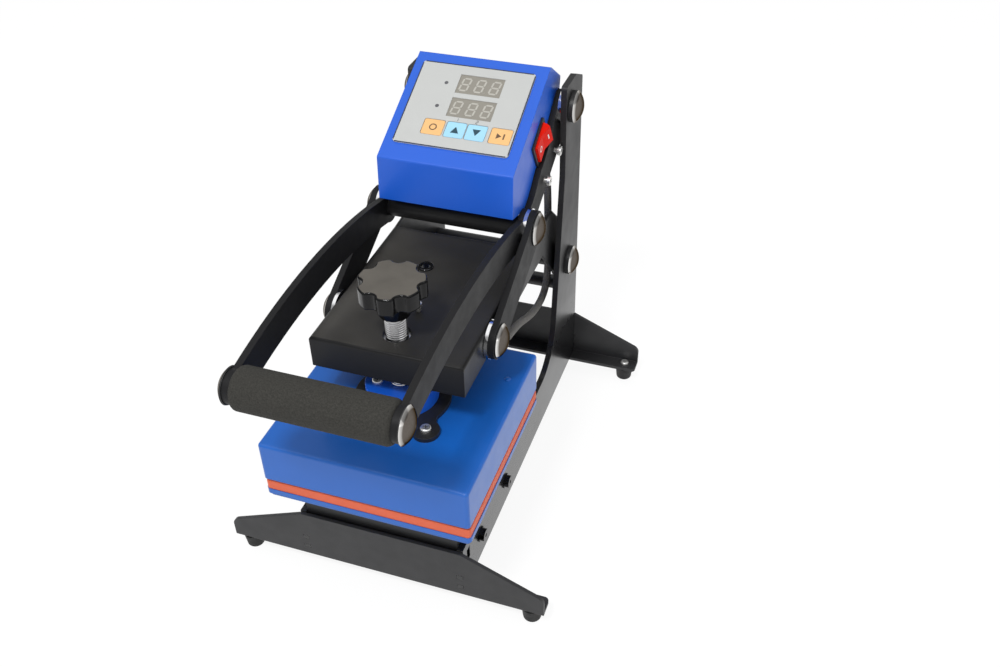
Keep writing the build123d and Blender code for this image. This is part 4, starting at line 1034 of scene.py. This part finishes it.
class PRESS_OT_stem(bpy.types.Operator):
    """Adds the threaded stem with its helical thread"""

    bl_idname = "press.stem"
    bl_label = "Threaded stem"

    def execute(self, context):
        rows = [
            (STEM_FOOT, RETAINER_R), (RETAINER_TOP, RETAINER_R),
            (RETAINER_TOP, SPIGOT_R), (THREAD_LOW, SPIGOT_R),
        ]
        length = THREAD_HIGH - THREAD_LOW
        steps = round(length / THREAD_PITCH * THREAD_ROWS_PER_TURN)
        rows += [(THREAD_LOW + length * step / steps, THREAD_CREST_R) for step in range(steps + 1)]

        def thread(z, turn, radius):
            if radius != THREAD_CREST_R:
                return radius
            phase = (z / THREAD_PITCH - turn) % 1.0
            depth = min(abs(phase * 2 - 1) * THREAD_STEEPNESS, 1.0)
            return THREAD_ROOT_R + (THREAD_CREST_R - THREAD_ROOT_R) * depth

        def make(bm):
            lathe(bm, rows, THREAD_SIDES, thread)

        place = Matrix.Translation((*metres(STEM_AT), 0)) @ Matrix.Scale(MM, 4)
        stem = new_piece("stem_thread", make, place, "knob", "thread", True)
        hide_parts("threaded_stem")
        return {"FINISHED"}


def route_points():
    """Close points along the smooth line of the lead's route."""
    curve = bpy.data.curves.new("lead_route", "CURVE")
    curve.dimensions = "3D"
    curve.resolution_u = 16
    spline = curve.splines.new("NURBS")
    spline.points.add(len(LEAD_ROUTE) - 1)
    for point, place in zip(spline.points, LEAD_ROUTE):
        point.co = (*metres(place), 1)
    spline.order_u = 3
    spline.use_endpoint_u = True
    line = new_object("lead_route", curve)
    mesh = bpy.data.meshes.new_from_object(line)
    points = [vertex.co.copy() for vertex in mesh.vertices]
    bpy.data.objects.remove(line)
    bpy.data.curves.remove(curve)
    bpy.data.meshes.remove(mesh)
    return points


def sleeve_frames(points):
    """At each point of a line, two directions square to it that don't twist."""
    frames = []
    side = Vector((1, 0, 0))
    for index, point in enumerate(points):
        before, after = points[max(index - 1, 0)], points[min(index + 1, len(points) - 1)]
        ahead = (after - before).normalized()
        side = (side - ahead * side.dot(ahead)).normalized()
        frames.append((point, side, ahead.cross(side)))
    return frames


class PRESS_OT_lead(bpy.types.Operator):
    """Adds the braided heater lead in three lengths"""

    bl_idname = "press.lead"
    bl_label = "Heater lead"

    def execute(self, context):
        width = context.scene.press_detail.lead_width
        points = route_points()
        frames = sleeve_frames(points)
        drop_end = next(i for i, point in enumerate(points) if point.z < LEAD_DROP_END_Z * MM)
        bend_end = next(i for i, point in enumerate(points) if point.y < LEAD_BEND_END_Y * MM)
        spans = (
            ("lead_drop", 0, drop_end, "lever", "frame"),
            ("lead_bend", drop_end, bend_end, "frame", "arm"),
            ("lead_run", bend_end, len(points) - 1, "arm", "head"),
        )
        for name, first, last, before, after in spans:
            piece = self.sleeve(name, frames[first:last + 1], width / 2)
            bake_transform(piece)
            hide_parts("heater_lead")
        return {"FINISHED"}

    def sleeve(self, name, frames, radius):
        """A round tube along part of the line, with flat ends."""
        turns = [2 * math.pi * step / LEAD_SIDES for step in range(LEAD_SIDES)]

        def make(bm):
            loops = []
            for point, side, up in frames:
                spokes = [side * math.cos(turn) + up * math.sin(turn) for turn in turns]
                loops.append([bm.verts.new(point + spoke * radius) for spoke in spokes])
            capped_tube(bm, loops)

        piece = new_mesh_object(name, make, "sleeve")
        for face in piece.data.polygons:
            face.use_smooth = len(face.vertices) == 4
        return piece


class PRESS_OT_studio(bpy.types.Operator):
    """Adds the floor, the lamps and the camera"""

    bl_idname = "press.studio"
    bl_label = "Studio"

    def execute(self, context):
        studio = context.scene.press_studio
        self.add_floor(studio)
        self.add_lamps(studio)
        self.add_sky(context, studio)
        self.add_camera(context)
        context.scene.view_settings.view_transform = "Standard"
        return {"FINISHED"}

    def add_floor(self, studio):
        """A wide flat floor."""
        mesh = bpy.data.meshes.new("floor")
        corners = [(-1, -1), (1, -1), (1, 1), (-1, 1)]
        mesh.from_pydata([(x * FLOOR_HALF, y * FLOOR_HALF, 0) for x, y in corners], [], [(0, 1, 2, 3)])
        mesh.materials.append(self.floor_paper(studio))
        floor = new_object("floor", mesh)

    def floor_paper(self, studio):
        """Pale paper that shows nearly white, and in reflections too, but keeps the shadow."""
        material, tree, shader = principled("floor_paper")
        paper = mix_colours(tree, noise(tree, 3, 2), tint(studio.floor, 0.985), tint(studio.floor, 1.0))
        tree.links.new(paper, shader.inputs["Base Color"])
        shader.inputs["Roughness"].default_value = 0.9
        shader.inputs["Specular IOR Level"].default_value = 0.0
        plain = tree.nodes.new("ShaderNodeEmission")
        plain.inputs["Color"].default_value = (1, 1, 1, 1)
        plain.inputs["Strength"].default_value = FLOOR_WHITE
        ray = tree.nodes.new("ShaderNodeLightPath")
        seen = combine(tree, "ADD", ray.outputs["Is Camera Ray"], ray.outputs["Is Glossy Ray"])
        seen = combine(tree, "ADD", seen, ray.outputs["Is Transmission Ray"])
        mix = tree.nodes.new("ShaderNodeMixShader")
        tree.links.new(combine(tree, "MULTIPLY", seen, studio.lift), mix.inputs["Fac"])
        tree.links.new(shader.outputs["BSDF"], mix.inputs[1])
        tree.links.new(plain.outputs["Emission"], mix.inputs[2])
        tree.links.new(mix.outputs["Shader"], tree.nodes["Material Output"].inputs["Surface"])
        return material

    def add_lamps(self, studio):
        """A soft key from the front and above, and a fill from the right."""
        lamps = (("key", studio.key, KEY_SIZE, KEY_AT), ("fill", studio.fill, FILL_SIZE, FILL_AT))
        for name, power, size, place in lamps:
            data = bpy.data.lights.new(name, "AREA")
            data.energy = power
            data.size = size
            lamp = new_object(name, data)
            lamp.location = place
            aim = Vector(LAMPS_AIM) - Vector(place)
            lamp.rotation_euler = aim.to_track_quat("-Z", "Y").to_euler()

    def add_sky(self, context, studio):
        """Soft light all round, brighter at the horizon and overhead than half way up."""
        world = bpy.data.worlds.new("studio")
        world.use_nodes = True
        tree = world.node_tree
        light = tree.nodes["Background"]
        light.inputs["Color"].default_value = (1, 1, 1, 1)
        height = coordinate(tree, "Generated", "Z")
        total = tree.nodes.new("ShaderNodeMath")
        tree.links.new(ramp(tree, height, studio.horizon, studio.middle, *LOW_SKY), total.inputs[0])
        tree.links.new(ramp(tree, height, 0.0, studio.top - studio.middle, *HIGH_SKY), total.inputs[1])
        tree.links.new(total.outputs["Value"], light.inputs["Strength"])
        context.scene.world = world

    def add_camera(self, context):
        """The camera stands where the reference view was taken from."""
        yaw, pitch, roll = CAMERA_YAW, CAMERA_PITCH, CAMERA_ROLL
        ahead = Vector((math.sin(yaw) * math.cos(pitch), math.cos(yaw) * math.cos(pitch), math.sin(pitch)))
        flat_right = Vector((math.cos(yaw), -math.sin(yaw), 0))
        flat_up = flat_right.cross(ahead)
        right = flat_right * math.cos(roll) + flat_up * math.sin(roll)
        up = flat_up * math.cos(roll) - flat_right * math.sin(roll)
        data = bpy.data.cameras.new("camera")
        data.lens = CAMERA_LENS
        data.sensor_width = CAMERA_SENSOR
        data.shift_y = CAMERA_SHIFT_Y
        data.clip_start, data.clip_end = CAMERA_CLIP
        camera = new_object("camera", data)
        turn = Matrix((right, up, -ahead)).transposed().to_4x4()
        camera.matrix_world = Matrix.Translation(CAMERA_AT) @ turn
        context.scene.camera = camera


class PRESS_PT_panel(bpy.types.Panel):
    """Lists the steps that dress the press"""

    bl_idname = "PRESS_PT_panel"
    bl_label = "Label heat press"
    bl_space_type = "VIEW_3D"
    bl_region_type = "UI"
    bl_category = "Press"

    def draw(self, context):
        scene = context.scene
        for group in (scene.press_paint, scene.press_detail, scene.press_studio):
            for name in group.__annotations__:
                self.layout.prop(group, name)
        for step in STEPS:
            self.layout.operator(step.bl_idname)


STEPS = (
    PRESS_OT_finishes, PRESS_OT_lead, PRESS_OT_stem, PRESS_OT_tray, PRESS_OT_panel, PRESS_OT_screws,
    PRESS_OT_rocker, PRESS_OT_studio,
)
GROUPS = {"press_paint": PressPaint, "press_detail": PressDetail, "press_studio": PressStudio}


def register():
    """Registers the classes and their settings."""
    for item in (*GROUPS.values(), *STEPS, PRESS_PT_panel):
        bpy.utils.register_class(item)
    for name, group in GROUPS.items():
        setattr(bpy.types.Scene, name, PointerProperty(type=group))


def unregister():
    """Takes the settings and the classes away again."""
    for name in GROUPS:
        delattr(bpy.types.Scene, name)
    for item in (PRESS_PT_panel, *reversed(STEPS), *GROUPS.values()):
        bpy.utils.unregister_class(item)


def main():
    """Runs every step."""
    register()
    for step in STEPS:
        group, name = step.bl_idname.split(".")
        getattr(getattr(bpy.ops, group), name)()


if __name__ == "__main__":
    main()
